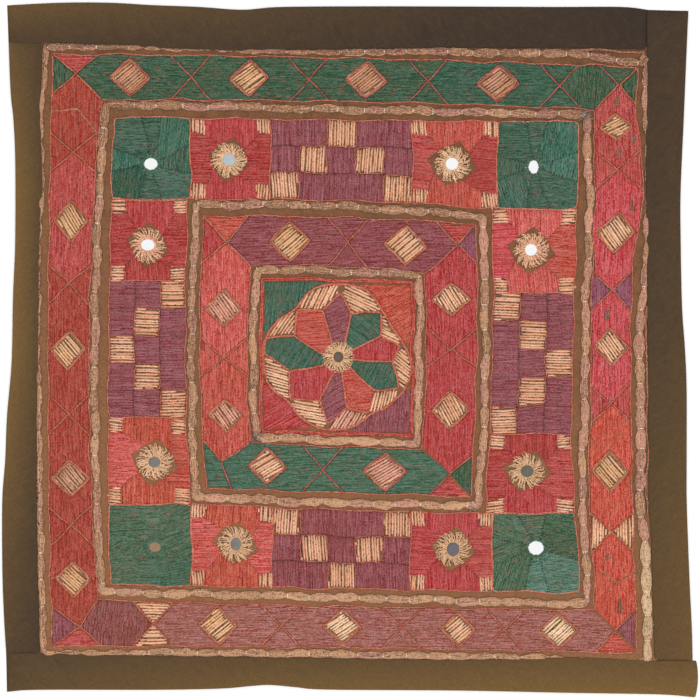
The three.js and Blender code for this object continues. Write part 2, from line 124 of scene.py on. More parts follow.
def makeFibreGroup():
    inputs = {"Dye": (1, 1, 1, 1), "Deep dye": (0, 0, 0, 1), "Ply pitch": 1.6, "Grains a metre": 760.0}
    group, given, made = newGroup("strandFibre", inputs, ("Colour", "Roughness", "Height"))
    strand = addNode(group, "ShaderNodeAttribute", attribute_name="strand").outputs["Vector"]
    far, across, tint = fill(group, addNode(group, "ShaderNodeSeparateXYZ"), Vector=strand)
    turns = maths(group, "DIVIDE", far, given["Ply pitch"])
    slant = maths(group, "MULTIPLY_ADD", across, fibrePlan["slant"], turns)
    twist = maths(group, "SINE", maths(group, "MULTIPLY", slant, math.tau))
    grain = noise(group, objectPlace(group), given["Grains a metre"], detail=4.0, roughness=0.75)
    # each strand's flanks are painted darker: painted shade where it turns down beside its neighbours
    paintedFlankShade = maths(group, "MULTIPLY", across, across)
    shade = tint
    for part, value in (("twist", twist), ("grain", grain), ("paintedFlankShade", paintedFlankShade)):
        shade = maths(group, "MULTIPLY_ADD", value, fibrePlan[part], shade)
    shade = maths(group, "SUBTRACT", shade, fibrePlan["middle"], clamp=True)
    fill(
        group, made, Colour=blend(group, shade, given["Deep dye"], given["Dye"]),
        Roughness=spread(group, shade, 0.0, 1.0, fibrePlan["dull"], fibrePlan["gloss"]),
        Height=maths(group, "MULTIPLY_ADD", twist, fibrePlan["ply"], grain),
    )
    return group


# Ageing: broad uneven patches where a colour has faded or soiled
agePlan = dict(clear=0.38, full=0.72)


def makeAgeGroup():
    inputs = {
        "Colour": (1, 1, 1, 1), "Aged colour": (0.5, 0.5, 0.5, 1), "Amount": 0.5, "Patches a metre": 30.0,
    }
    group, given, made = newGroup("agedPatches", inputs, ("Colour", "Mask"))
    cloud = noise(group, objectPlace(group), given["Patches a metre"], detail=4.0, roughness=0.62)
    mask = spread(group, cloud, agePlan["clear"], agePlan["full"])
    mask = maths(group, "MULTIPLY", mask, given["Amount"])
    fill(group, made, Colour=blend(group, mask, given["Colour"], given["Aged colour"]), Mask=mask)
    return group


# Plain weave: over-and-under bumps and uneven yarns both ways. The shade dims the low points of the bumps,
# painted shade between the yarns, and follows the uneven yarns
weavePlan = dict(slubs=((300, 1100, 1), (1100, 300, 1)), slubHeight=1.4, bumpShade=0.12)


def makeWeaveGroup():
    group, given, made = newGroup("plainWeave", {"Yarns a metre": 1500.0, "Slub": 0.5}, ("Height", "Shade"))
    place = objectPlace(group)
    parts = fill(group, addNode(group, "ShaderNodeSeparateXYZ"), Vector=place)
    waves, slubs = [], []
    for axis, scale in zip("XY", weavePlan["slubs"]):
        turn = maths(group, "MULTIPLY", parts[axis], given["Yarns a metre"])
        waves.append(maths(group, "SINE", maths(group, "MULTIPLY", turn, math.pi)))
        stretched = fill(group, addNode(group, "ShaderNodeMapping"), Scale=scale, Vector=place)
        slubs.append(noise(group, stretched[0], 1.0))
    bumps = maths(group, "MULTIPLY", *waves)
    slub = maths(group, "SUBTRACT", maths(group, "ADD", *slubs), 1.0)
    shade = maths(group, "MULTIPLY", slub, given["Slub"])
    fill(
        group, made, Height=maths(group, "MULTIPLY_ADD", slub, weavePlan["slubHeight"], bumps),
        Shade=maths(group, "MULTIPLY_ADD", bumps, weavePlan["bumpShade"], shade),
    )
    return group


fibreGroup = makeFibreGroup()
ageGroup = makeAgeGroup()
weaveGroup = makeWeaveGroup()


def newMaterial(name):
    material = bpy.data.materials.new(name)
    material.use_nodes = True
    tree = material.node_tree
    tree.nodes.clear()
    surface = addNode(tree, "ShaderNodeBsdfPrincipled")
    fill(tree, addNode(tree, "ShaderNodeOutputMaterial"), Surface=surface.outputs[0])
    return material, tree, surface


def useGroup(tree, group, **values):
    return fill(tree, addNode(tree, "ShaderNodeGroup", node_tree=group), **values)


def useAge(tree, colour, aged, amount, patches):
    return useGroup(
        tree, ageGroup, Colour=colour, Aged_colour=dye(*aged), Amount=amount, Patches_a_metre=patches,
    )


def threadMaterial(name, light, deep, aged, plan):
    material, tree, surface = newMaterial(name)
    fibre = useGroup(
        tree, fibreGroup, Dye=dye(*light), Deep_dye=dye(*deep),
        Ply_pitch=plan["ply"], Grains_a_metre=plan["grains"],
    )
    age = useAge(tree, fibre["Colour"], aged, amount=0.5, patches=plan["patches"])
    fill(
        tree, surface, Base_Color=age["Colour"], Roughness=fibre["Roughness"],
        Normal=addBump(tree, fibre["Height"], plan["relief"], plan["strength"]),
        Sheen_Weight=plan["sheen"], Specular_IOR_Level=plan["gloss"],
    )
    return material


# Floss: one dye lot each. Strands run from a lighter to a deeper shade of it, partly uneven fibre tone and
# partly a painted sheen highlight and painted shade, and patches have browned
flossBook = {
    "green": (58, 94, 67), "teal": (84, 127, 106), "jade": (70, 110, 86), "fir": (64, 103, 82),
    "pine": (64, 116, 95), "moss": (80, 110, 82), "leaf": (52, 96, 73), "forest": (24, 46, 39),
    "red": (186, 67, 60), "rose": (203, 66, 72), "brick": (171, 58, 36), "crimson": (185, 55, 56),
    "ruby": (176, 51, 45), "coral": (196, 77, 58), "scarlet": (194, 76, 48), "salmon": (207, 84, 73),
    "flame": (204, 76, 50), "maroon": (92, 36, 28), "wine": (146, 74, 68), "rust": (184, 94, 66),
    "purple": (148, 73, 82), "plum": (149, 69, 75), "mauve": (166, 98, 88), "violet": (146, 76, 98),
    "cream": (238, 178, 137), "straw": (226, 172, 121), "blush": (222, 154, 127), "fawn": (203, 143, 106),
    "ivory": (250, 203, 162), "wheat": (228, 166, 128), "pale": (238, 222, 200), "oat": (232, 186, 140),
    "outline": (212, 116, 86), "pink": (200, 94, 84), "ochre": (176, 116, 78), "ash": (152, 134, 124),
    "drab": (132, 96, 66), "umber": (92, 60, 42),
}
flossPlan = dict(
    light=24, deep=-28, darkest=6, common=0.9, weak=115, soil=(140, 92, 60), soiled=0.3,
    ply=1.6, grains=760.0, patches=30.0, relief=0.00012, strength=0.6, sheen=0.05, gloss=0.15,
)
flossMaterials = {}


def shadeOf(colour, step):  # the weaker parts of a dye vary most, so the lighter shade whitens as a painted sheen highlight
    most, weak = max(colour), flossPlan["weak"]
    shades = (part + step * (flossPlan["common"] + (most - part) / weak) for part in colour)
    return tuple(min(255, max(flossPlan["darkest"], part)) for part in shades)


def browned(colour):
    soiled = flossPlan["soiled"]
    return tuple((1 - soiled) * part + soiled * brown for part, brown in zip(colour, flossPlan["soil"]))


def flossMaterial(name):
    if name not in flossMaterials:
        colour = flossBook[name]
        light, deep = (shadeOf(colour, flossPlan[end]) for end in ("light", "deep"))
        flossMaterials[name] = threadMaterial("floss_" + name, light, deep, browned(colour), flossPlan)
    return flossMaterials[name]


# Mesh helpers

triangles = {}  # how many each piece has


def makeObject(name, points, faces, materials, faceSlots=None, strand=None, paleness=None):
    corners = faces.shape[1]
    mesh = bpy.data.meshes.new(name)
    mesh.vertices.add(len(points))
    mesh.vertices.foreach_set("co", (points * mm).astype(np.float32).ravel())
    mesh.loops.add(faces.size)
    mesh.loops.foreach_set("vertex_index", faces.astype(np.int32).ravel())
    mesh.polygons.add(len(faces))
    mesh.polygons.foreach_set("loop_start", np.arange(0, faces.size, corners, dtype=np.int32))
    for material in materials:
        mesh.materials.append(material)
    if faceSlots is not None:
        mesh.polygons.foreach_set("material_index", faceSlots.astype(np.int32))
    for label, kind, part, values in (
        ("strand", "FLOAT_VECTOR", "vector", strand), ("paleness", "FLOAT", "value", paleness),
    ):
        if values is not None:
            layer = mesh.attributes.new(label, kind, "POINT")
            layer.data.foreach_set(part, values.astype(np.float32).ravel())
    flat = points[faces.ravel(), :2]  # seen from above, for the UV map named OFBake
    low = flat.min(axis=0)
    flat = 0.01 + 0.98 * (flat - low) / (flat.max(axis=0) - low).max()
    mesh.uv_layers.new(name="OFBake").data.foreach_set("uv", flat.astype(np.float32).ravel())
    mesh.update(calc_edges=True)
    mesh.polygons.foreach_set("use_smooth", np.full(len(faces), True))
    made = bpy.data.objects.new(name, mesh)
    bpy.context.scene.collection.objects.link(made)
    triangles[name] = faces.size - 2 * len(faces)
    return made


def asPiece(made, node):
    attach(made, "root")
    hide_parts(node)
    return made


def gridTris(near, far, farNext, nearNext):  # two triangles for each square of a grid
    halves = ((near, far, farNext), (near, farNext, nearNext))
    return np.concatenate([np.stack(half, axis=-1).reshape(-1, 3) for half in halves])


def runLengths(run):  # how far along a run each of its points lies
    return np.concatenate(((0,), np.cumsum(np.linalg.norm(np.diff(run, axis=0), axis=1))))


def pointsAlong(run, reach, at):
    return np.stack((np.interp(at, reach, run[:, 0]), np.interp(at, reach, run[:, 1])), axis=1)


def leftOf(way):
    return np.stack((-way[:, 1], way[:, 0]), axis=1)


def tableAt(table, at):  # a value between the rows of a table
    table = np.array(table)
    return np.interp(at, table[:, 0], table[:, 1])


def polar(centre, radius, degrees):
    angle = math.radians(degrees)
    return np.array((centre[0] + radius * math.cos(angle), centre[1] + radius * math.sin(angle)))


def ripple(waves, x, y):  # a wave's row: size in mm, turn for each mm along x and along y, phase
    return sum(size * np.sin(turnX * x + turnY * y + phase) for size, turnX, turnY, phase in waves)


# Frames of the cloth: corners clockwise from top left, then how far top, right, bottom, left bow out
clothFrames = {
    "seam": ((-306, 306.4), (297.5, 300), (304.4, -311), (-308.5, -302.8), (-2.5, -3, 1, 3.8)),
    "outerBandOut": ((-296.5, 296), (287.5, 283), (288, -303), (-297.5, -296), (2.4, -6.5, -2, 4)),
    "outerBandIn": ((-248, 250), (244.5, 240.5), (245.5, -260), (-251.5, -250), (3.2, -3.7, 1.5, 10.5)),
    "cordSecond": ((-243.5, 246), (237.8, 235.3), (238, -254.3), (-248, -242), (-0.2, -2.5, -0.6, 9.0)),
    "mirrorBandOut": ((-234.5, 232.5), (229.5, 227.5), (230, -242.5), (-239.5, -234.5), (0, -4.5, 0, 4.0)),
    "mirrorBandIn": ((-161.5, 150), (143, 141), (135.5, -163), (-159, -153), (5, 4, 2, 4.5)),
    "cordThird": ((-152, 145.5), (133.8, 133.4), (127.2, -155.4), (-154, -146.2), (3.8, 5.5, 1.7, 5.2)),
    "innerBandOut": ((-145.5, 134), (126.5, 126), (121, -147), (-143, -138), (2.5, 3.4, 0, 5.4)),
    "innerBandIn": ((-99.5, 84.5), (75.5, 77), (73, -98.5), (-99.5, -92), (3, 2.5, 1.5, 2.5)),
    "cordCentre": ((-93.2, 80.4), (70.5, 74.4), (68, -93.3), (-93.5, -87.2), (1.5, 0, 0, 3)),
    "centreSquare": ((-86.5, 70), (63, 66.5), (62, -84.5), (-87, -81), (1, 0, 0, 1)),
}
sideRuns = {  # first and last corner, axis that the side runs along, sign of outwards, place in the bows
    "top": (0, 1, 0, 1, 0),
    "right": (1, 2, 1, 1, 1),
    "bottom": (3, 2, 0, -1, 2),
    "left": (0, 3, 1, -1, 3),
}
sideTurn = {"top": 0, "right": 90, "bottom": 0, "left": 90}  # degrees of the way along each side
edgeSwell = {  # where an edge swells out or in: middle along the side, half width, height
    ("outerBandOut", "right"): ((160, 52, 11.0),),
    ("outerBandIn", "right"): ((140, 60, 3.0), (-140, 50, -4.0)),
    ("cordSecond", "right"): ((127, 60, 4.0), (-135, 62, -3.4)),
    ("mirrorBandOut", "right"): ((-80, 95, -4.6),),
    ("cordThird", "right"): ((60, 45, -1.8), (-70, 45, 1.2)),
}


def frameCorner(frameName, which):
    return np.array(clothFrames[frameName][which], float)


def edgeAt(frameName, side, spot):
    first, last, axis, out, bow = sideRuns[side]
    corners = clothFrames[frameName]
    start, end = corners[first], corners[last]
    share = (spot - start[axis]) / (end[axis] - start[axis])
    swell = np.maximum(0, 4 * share * (1 - share))
    across = start[1 - axis] + (end[1 - axis] - start[1 - axis]) * share
    stray = corners[4][bow] * swell
    for middle, wide, high in edgeSwell.get((frameName, side), ()):
        stray = stray + high * np.exp(-(((spot - middle) / wide) ** 2))
    return across + out * stray


def bandPoint(outName, inName, side, spot, share):
    across = edgeAt(outName, side, spot) * (1 - share) + edgeAt(inName, side, spot) * share
    return np.array((spot, across) if sideRuns[side][2] == 0 else (across, spot), float)


def edgeRun(frameName, side, count, start=0.0, end=1.0):
    first, last, axis = sideRuns[side][:3]
    low, high = clothFrames[frameName][first][axis], clothFrames[frameName][last][axis]
    shares = np.linspace(start, end, count)
    return np.array([bandPoint(frameName, frameName, side, low + (high - low) * s, 0) for s in shares])


# Handwork: nothing on the cloth runs quite straight, and neighbours drift together
swayX = ((0.7, 0.051, 0.083, 1.3), (0.45, -0.04, 0.117, 0.5))
swayY = ((0.7, 0.079, -0.047, 2.1), (0.45, 0.131, 0.03, 4.0))


def handSway(points):
    x, y = points[:, 0], points[:, 1]
    return np.stack((ripple(swayX, x, y), ripple(swayY, x, y)), axis=1)


def handDrawn(points, closed=True, step=4.0, jitter=0.22):
    points = np.asarray(points, float)
    ends = np.roll(points, -1, axis=0) if closed else points[1:]
    run = []
    for start, end in zip(points, ends):
        count = max(1, int(np.hypot(*(end - start)) // step))
        run.append(start + (end - start) * np.linspace(0, 1, count, endpoint=False)[:, None])
    if not closed:
        run.append(points[-1:])
    run = np.concatenate(run)
    return run + handSway(run) + rng.normal(0, jitter, run.shape)


def shrink(loop, distance):  # a loop moved inwards, turned to run anticlockwise
    loop = np.asarray(loop, float)
    after = np.roll(loop, -1, axis=0)
    if np.sum(loop[:, 0] * after[:, 1] - after[:, 0] * loop[:, 1]) < 0:
        loop = loop[::-1]
        after = np.roll(loop, -1, axis=0)
    leaving = (after - loop) / np.linalg.norm(after - loop, axis=1, keepdims=True)
    arriving = np.roll(leaving, 1, axis=0)
    sharpest = 0.3
    scale = distance / np.maximum(sharpest, 1 + np.sum(arriving * leaving, axis=1, keepdims=True))
    return loop + leftOf(arriving + leaving) * scale


# Strands: each stitch is a closed spindle of three rings and two tips, each fleck has one ring
strandFaces = np.array([
    (0, 2, 1), (0, 3, 2), (0, 1, 3),
    (1, 2, 5), (1, 5, 4), (2, 3, 6), (2, 6, 5), (3, 1, 4), (3, 4, 6),
    (4, 5, 8), (4, 8, 7), (5, 6, 9), (5, 9, 8), (6, 4, 7), (6, 7, 9),
    (7, 8, 10), (8, 9, 10), (9, 7, 10),
])
fleckFaces = np.array([(0, 2, 1), (0, 3, 2), (0, 1, 3), (4, 1, 2), (4, 2, 3), (4, 3, 1)])
strandPlan = dict(  # middle and end: half width to width, height to rise
    lead=0.8, leadShare=0.3, tuck=0.15, sink=-0.1, bendLength=8, middle=(0.5, 1.0), end=(0.42, 0.78),
)
bagParts = ("start", "end", "width", "rise", "startUp", "endUp", "floss", "tint", "bend")


def newBag():
    return {"strands": {part: [] for part in bagParts}, "flecks": {part: [] for part in bagParts}}


def sew(
    bag, starts, ends, floss, width, rise, startUp=clothTop, endUp=clothTop,
    tint=0.5, uneven=0.16, bend=0.14, kind="strands",
):
    count = len(starts)
    if count == 0:
        return
    stitches = dict(
        start=np.asarray(starts, float), end=np.asarray(ends, float),
        width=width * rng.uniform(0.8, 1.08, count), rise=rise * rng.uniform(0.8, 1.15, count),
        startUp=np.zeros(count) + startUp, endUp=np.zeros(count) + endUp, floss=np.array([floss] * count),
        tint=np.clip(tint + rng.normal(0, uneven, count), 0, 1), bend=rng.normal(0, bend, count),
    )
    for part in bagParts:
        bag[kind][part].append(stitches[part])


def strandArrays(bag, flecks=False):
    parts = {part: np.concatenate(bag[part]) for part in bagParts}
    start, end, startUp, endUp = (parts[part] for part in ("start", "end", "startUp", "endUp"))
    count = len(start)
    way = end - start
    length = np.maximum(0.01, np.linalg.norm(way, axis=1))
    side = leftOf(way) / length[:, None]
    lead = np.minimum(strandPlan["leadShare"], strandPlan["lead"] / length)
    bend = parts["bend"] * np.minimum(1, length / strandPlan["bendLength"])
    rings = ((0.5, *strandPlan["middle"]),)
    if not flecks:
        rings = ((lead, *strandPlan["end"]), *rings, (1 - lead, *strandPlan["end"]))
    corners, pattern = 2 + 3 * len(rings), fleckFaces if flecks else strandFaces
    points = np.zeros((count, corners, 3))
    strand = np.zeros((count, corners, 3))
    strand[:, :, 2] = parts["tint"][:, None]
    points[:, 0, :2], points[:, 0, 2] = start, startUp - strandPlan["tuck"]
    points[:, -1, :2], points[:, -1, 2] = end, endUp - strandPlan["tuck"]
    strand[:, -1, 0] = length
    for ring, (share, fullness, height) in enumerate(rings):
        share = np.broadcast_to(share, count)
        middle = start + way * share[:, None] + side * (bend * 4 * share * (1 - share))[:, None]
        base = startUp + (endUp - startUp) * share
        for spot, across in ((1, fullness), (2, 0.0), (3, -fullness)):
            vertex = ring * 3 + spot
            points[:, vertex, :2] = middle + side * (across * parts["width"])[:, None]
            points[:, vertex, 2] = base + (parts["rise"] * height if spot == 2 else strandPlan["sink"])
            strand[:, vertex, 0] = share * length
            strand[:, vertex, 1] = across * 2
    faces = (pattern[None] + corners * np.arange(count)[:, None, None]).reshape(-1, 3)
    floss = np.repeat(np.concatenate(bag["floss"]), len(pattern))
    return points.reshape(-1, 3), faces, strand.reshape(-1, 3), floss


def stitchArrays(bag):  # strands and flecks of a bag as one mesh, with the floss of each face
    points, faces, strand, floss = strandArrays(bag["strands"])
    if bag["flecks"]["start"]:
        morePoints, moreFaces, moreStrand, moreFloss = strandArrays(bag["flecks"], flecks=True)
        faces = np.concatenate((faces, moreFaces + len(points)))
        points, strand = np.concatenate((points, morePoints)), np.concatenate((strand, moreStrand))
        floss = np.concatenate((floss, moreFloss))
    names, slots = np.unique(floss, return_inverse=True)
    return points, faces, strand, [flossMaterial(name) for name in names], slots


def stitchObject(name, bag):
    points, faces, strand, materials, slots = stitchArrays(bag)
    return makeObject(name, points, faces, materials, slots, strand)


# Fields: rows of long stitches across a loop, split and broken the way hand darning is
rowPlan = dict(first=0.45, inset=0.2, shortest=1.3, uneven=(0.75, 1.2), cut=0.3, stray=0.09, lap=0.6)


def fillRows(loops, degrees, pitch, longest, jitter=0.05, ragged=0.25, lean=0.08):
    turn = math.radians(-degrees)
    spin = np.array(((math.cos(turn), -math.sin(turn)), (math.sin(turn), math.cos(turn))))
    turned = [np.asarray(loop) @ spin.T for loop in loops]
    low, high = turned[0][:, 1].min(), turned[0][:, 1].max()
    rows = np.arange(low + pitch * rowPlan["first"], high, pitch)
    rows = rows + rng.normal(0, pitch * jitter, len(rows))
    starts, ends, places = [], [], []
    for place, row in enumerate(rows):
        hits = []
        for loop in turned:
            after = np.roll(loop, -1, axis=0)
            crossing = (loop[:, 1] <= row) != (after[:, 1] <= row)
            near, far = loop[crossing], after[crossing]
            share = (row - near[:, 1]) / (far[:, 1] - near[:, 1])
            hits.append(near[:, 0] + share * (far[:, 0] - near[:, 0]))
        hits = np.sort(np.concatenate(hits))
        tilt = rng.normal(0, lean, 2)
        for left, right in zip(hits[0::2], hits[1::2]):
            left += rowPlan["inset"] + rng.normal(0, ragged)
            right -= rowPlan["inset"] + rng.normal(0, ragged)
            if right - left < rowPlan["shortest"]:
                continue
            count = max(1, int(round((right - left) / (longest * rng.uniform(*rowPlan["uneven"])))))
            cuts = np.linspace(left, right, count + 1)
            cuts[1:-1] += rng.uniform(-rowPlan["cut"], rowPlan["cut"], count - 1) * (right - left) / count
            for near, far in zip(cuts[:-1], cuts[1:]):
                stray = rng.normal(0, pitch * rowPlan["stray"])
                starts.append((near - rowPlan["lap"], row + tilt[0] + stray))
                ends.append((far + rowPlan["lap"], row + tilt[1] + stray))
                places.append(place)
    if not starts:
        return np.zeros((0, 2)), np.zeros((0, 2)), np.zeros(0)
    return np.array(starts) @ spin, np.array(ends) @ spin, np.array(places)


fieldPlan = dict(pitch=1.32, width=2.45, rise=0.8, paintedRowShade=0.08, uneven=0.18)
fleckPlan = dict(  # shortest, longest and width of each kind
    highlightFleckArea=34.0, shadeAndHighlightFleck=(1.2, 4.6, 0.95), through=(8.0, 18.0, 0.7), gap=(3.0, 10.0, 0.9),
)
fleckColumns = ("dark", "shadeFleckArea", "light", "through", "throughArea", "gap")
fleckRows = {  # flecks among the stitches of a floss, one to so many mm2: a dark floss, painted shade in the grooves between the rows, and its spacing; a light floss, a painted highlight; a thread that shows through, and its spacing; a dark floss for gaps, painted shade where the ground shows
    "red": ("maroon", 14.0, "salmon", "outline", 160.0, "umber"),
    "mauve": ("maroon", 14.0, "blush", "ochre", 160.0, "umber"),
    "purple": ("umber", 9.1, "mauve", "ochre", 160.0, "umber"),
    "green": ("forest", 14.0, "teal", "pink", 42.0, "forest"),
    "fir": ("forest", 14.0, "teal", "pink", 66.0, "forest"),
}
fleckBook = {floss: dict(zip(fleckColumns, row)) for floss, row in fleckRows.items()}
fleckLike = {"plum": "purple", "wine": "purple"}  # flosses not named here are like red
for floss in ("mauve", "purple", "green", "fir"):
    fleckLike[floss] = floss
for floss in ("leaf", "teal", "jade", "pine", "moss"):
    fleckLike[floss] = "fir"


def addFlecks(
    bag, starts, ends, floss, area, shortest, longest, width, rise=0.95, pitch=fieldPlan["pitch"], slant=0.0,
):
    way = ends - starts  # flecks in the grooves between the rows: painted shade, painted highlights, threads that show through, and dark gaps
    length = np.linalg.norm(way, axis=1)
    count = int(length.sum() * pitch / area)
    if count == 0:
        return
    picks = rng.choice(len(starts), count, p=length / length.sum())
    forward = way[picks] / length[picks, None]
    reach = np.minimum(length[picks], rng.uniform(shortest, longest, count))
    begin = rng.random(count) * (length[picks] - reach)
    aside = leftOf(forward)
    near = starts[picks] + forward * begin[:, None] + aside * pitch / 2
    forward = forward + aside * rng.normal(0, slant, (count, 1))
    sew(bag, near, near + forward * reach[:, None], floss, width, rise, tint=0.45, kind="flecks")


def embroider(bag, loop, floss, degrees, holes=(), tint=0.5, longest=10.0, coarse=0):
    loops = [handDrawn(loop)] + [handDrawn(hole) for hole in holes]
    starts, ends, rows = fillRows(loops, degrees, fieldPlan["pitch"], longest)
    tints = tint + fieldPlan["paintedRowShade"] * (1 - 2 * (rows % 2))  # every other row is painted darker and the rows between lighter: painted shade of rows lying deeper
    width, rise, uneven = fieldPlan["width"], fieldPlan["rise"], fieldPlan["uneven"]
    sew(bag, starts, ends, floss, width, rise, tint=tints, uneven=uneven)
    if len(starts) == 0:
        return
    kind = fleckBook[fleckLike.get(floss, "red")]
    # dark flecks are painted shade in the grooves, light flecks painted highlights
    addFlecks(bag, starts, ends, kind["dark"], kind["shadeFleckArea"], *fleckPlan["shadeAndHighlightFleck"])
    addFlecks(bag, starts, ends, kind["light"], fleckPlan["highlightFleckArea"], *fleckPlan["shadeAndHighlightFleck"])
    addFlecks(bag, starts, ends, kind["through"], kind["throughArea"], *fleckPlan["through"])
    if coarse:  # one dark gap thread to so many mm2, painted shade where the ground shows between the stitches
        addFlecks(bag, starts, ends, kind["gap"], coarse, *fleckPlan["gap"])


creamPlan = dict(
    pitch=2.75, width=3.35, rise=0.75, longest=30.0, close=0.9,  # ivory stitches lie closer
    loose=dict(jitter=0.04, ragged=0.7, lean=0.14), look=dict(tint=0.48, uneven=0.13, bend=0.4),
    shadeBedTurn=2, shadeBedPitch=2.4, shadeBedWidth=3.0, shadeBedRise=0.25,  # a brown bed under the thick stitches, painted shade between them
    # dark umber slits between the thick stitches, painted shade in the grooves
    shadeSlitArea=14.0, gap=(2.0, 5.0, 1.2, 0.9), shadeSlitSlant=0.2,
    endShadeShare=0.7, endShadeInset=0.3, endShadeLength=(1.4, 3.6), endShadeWidth=0.95, endShadeRise=1.1,
)


def addEndShades(bag, starts, ends):  # dark flecks at the ends of thick stitches, painted shade between their tapered tips
    way = ends - starts
    forward = way / np.linalg.norm(way, axis=1, keepdims=True)
    aside = leftOf(forward) * creamPlan["pitch"] / 2
    for tips, inwards in ((starts, forward), (ends, -forward)):
        near = tips + aside + inwards * creamPlan["endShadeInset"]
        far = near + inwards * rng.uniform(*creamPlan["endShadeLength"], (len(tips), 1))
        kept = rng.random(len(tips)) < creamPlan["endShadeShare"]
        width, rise = creamPlan["endShadeWidth"], creamPlan["endShadeRise"]
        sew(bag, near[kept], far[kept], "umber", width, rise, tint=0.45, kind="flecks")


def embroiderCream(bag, loop, degrees, floss="wheat"):
    edge = handDrawn(loop)
    shadeBed = fillRows([edge], degrees + creamPlan["shadeBedTurn"], creamPlan["shadeBedPitch"], creamPlan["longest"])
    sew(bag, *shadeBed[:2], "drab", creamPlan["shadeBedWidth"], creamPlan["shadeBedRise"])
    pitch = creamPlan["pitch"] * (creamPlan["close"] if floss == "ivory" else 1)
    starts, ends, _ = fillRows([edge], degrees, pitch, creamPlan["longest"], **creamPlan["loose"])
    sew(bag, starts, ends, floss, creamPlan["width"], creamPlan["rise"], **creamPlan["look"])
    if len(starts):
        gap, slant = creamPlan["gap"], creamPlan["shadeSlitSlant"]
        addFlecks(bag, starts, ends, "umber", creamPlan["shadeSlitArea"], *gap, pitch, slant=slant)
        addEndShades(bag, starts, ends)


def fieldIn(bag, loop, floss, degrees):
    if floss == "cream":
        embroiderCream(bag, loop, degrees, floss)
    else:
        embroider(bag, loop, floss, degrees)


outlinePlan = dict(span=5.0, jitter=0.4, slip=0.25)


def outlineRun(bag, points, closed=False, floss="outline", width=1.5, step=4.4, rise=1.4, lap=0.7):
    points = np.asarray(points, float)
    run = handDrawn(points, closed, outlinePlan["span"], outlinePlan["jitter"])
    if closed:
        run, points = np.concatenate((run, run[:1])), np.concatenate((points, points[:1]))
    reach = runLengths(run)
    spans = np.maximum(1, np.linalg.norm(np.diff(points, axis=0), axis=1) // outlinePlan["span"]).astype(int)
    turns = reach[np.concatenate(((0,), np.cumsum(spans)))]  # a stitch ends at each corner of the run
    marks = []
    for near, far in zip(turns, turns[1:]):
        marks.append(np.linspace(near, far, max(1, int(round((far - near) / step))), endpoint=False))
    marks = np.concatenate(marks + [reach[-1:]])
    starts = pointsAlong(run, reach, np.maximum(0, marks[:-1] - lap))
    ends = pointsAlong(run, reach, np.minimum(reach[-1], marks[1:] + lap))
    way = ends - starts
    slip = leftOf(way) / np.maximum(0.01, np.linalg.norm(way, axis=1))[:, None] * outlinePlan["slip"]
    sew(bag, starts + slip, ends - slip, floss, width, rise)


# Ground cloth and border strips

clothPlan = dict(gapShadeShare=0.45, dull=0.95, worn=0.8, strength=0.7, sheen=0.02, gloss=0.05)


def clothMaterial(name, plan):
    material, tree, surface = newMaterial(name)
    weave = useGroup(tree, weaveGroup, Yarns_a_metre=plan["yarns"], Slub=plan["slub"])
    aged = useAge(tree, dye(*plan["colour"]), plan["aged"], plan["ageing"], plan["patches"])["Colour"]
    paleness = addNode(tree, "ShaderNodeAttribute", attribute_name="paleness").outputs["Fac"]
    paledTone = blend(tree, paleness, aged, dye(*plan["paledTone"]))
    shade = maths(tree, "ADD", weave["Shade"], 0.5, clamp=True)
    # the colour runs from the gap colour, painted shade between the yarns, to the lifted colour, painted
    # light on the raised yarns; the slubs in it are uneven yarn
    dark = blend(tree, clothPlan["gapShadeShare"], paledTone, dye(*plan["gap"]))
    light = fill(tree, addNode(tree, "ShaderNodeBrightContrast"), Color=paledTone, Bright=plan["lift"])[0]
    fill(
        tree, surface, Base_Color=blend(tree, shade, dark, light),
        Roughness=spread(tree, shade, 0.0, 1.0, clothPlan["dull"], clothPlan["worn"]),
        Normal=addBump(tree, weave["Height"], plan["relief"], clothPlan["strength"]),
        Sheen_Weight=clothPlan["sheen"], Specular_IOR_Level=clothPlan["gloss"],
    )
    return material


def sheetObject(name, flat, up, material, paleness):  # a cloth with a face, an underside and walls at its edges
    rows, columns = up.shape
    count = rows * columns
    index = np.arange(count).reshape(rows, columns)
    corners = (index[:-1, :-1], index[:-1, 1:], index[1:, 1:], index[1:, :-1])
    quads = np.stack(corners, axis=-1).reshape(-1, 4)
    ring = np.concatenate((index[0, :-1], index[:-1, -1], index[-1, :0:-1], index[:0:-1, 0]))
    after = np.roll(ring, -1)
    walls = np.stack((ring, ring + count, after + count, after), axis=1)
    faces = np.concatenate((quads, quads[:, ::-1] + count, walls))
    first, second = flat[0, 1] - flat[0, 0], flat[1, 0] - flat[0, 0]
    if first[0] * second[1] - first[1] * second[0] < 0:
        faces = faces[:, ::-1]
    heights = (up, np.full_like(up, clothUnder))
    layers = [np.concatenate((flat, high[..., None]), axis=-1) for high in heights]
    points = np.concatenate(layers).reshape(-1, 3)
    return makeObject(name, points, faces, [material], paleness=np.concatenate((paleness.ravel(), paleness.ravel())))


groundPlan = dict(
    colour=(134, 93, 63), aged=(105, 70, 48), paledTone=(164, 113, 77), gap=(70, 46, 30), lift=0.01,
    yarns=1450.0, slub=2.0, ageing=1.0, patches=85.0, relief=0.00015,
    flat=(0.614, 0.617), wide=612, step=5.4, lap=3.0, half=305,
    sunk=0.15, pucker=0.07, rough=0.03, paleness=0.42, palenessX=0.1, palenessY=0.4, palenessReach=300, palenessRough=0.06,
)
groundCotton = clothMaterial("groundCotton", groundPlan)


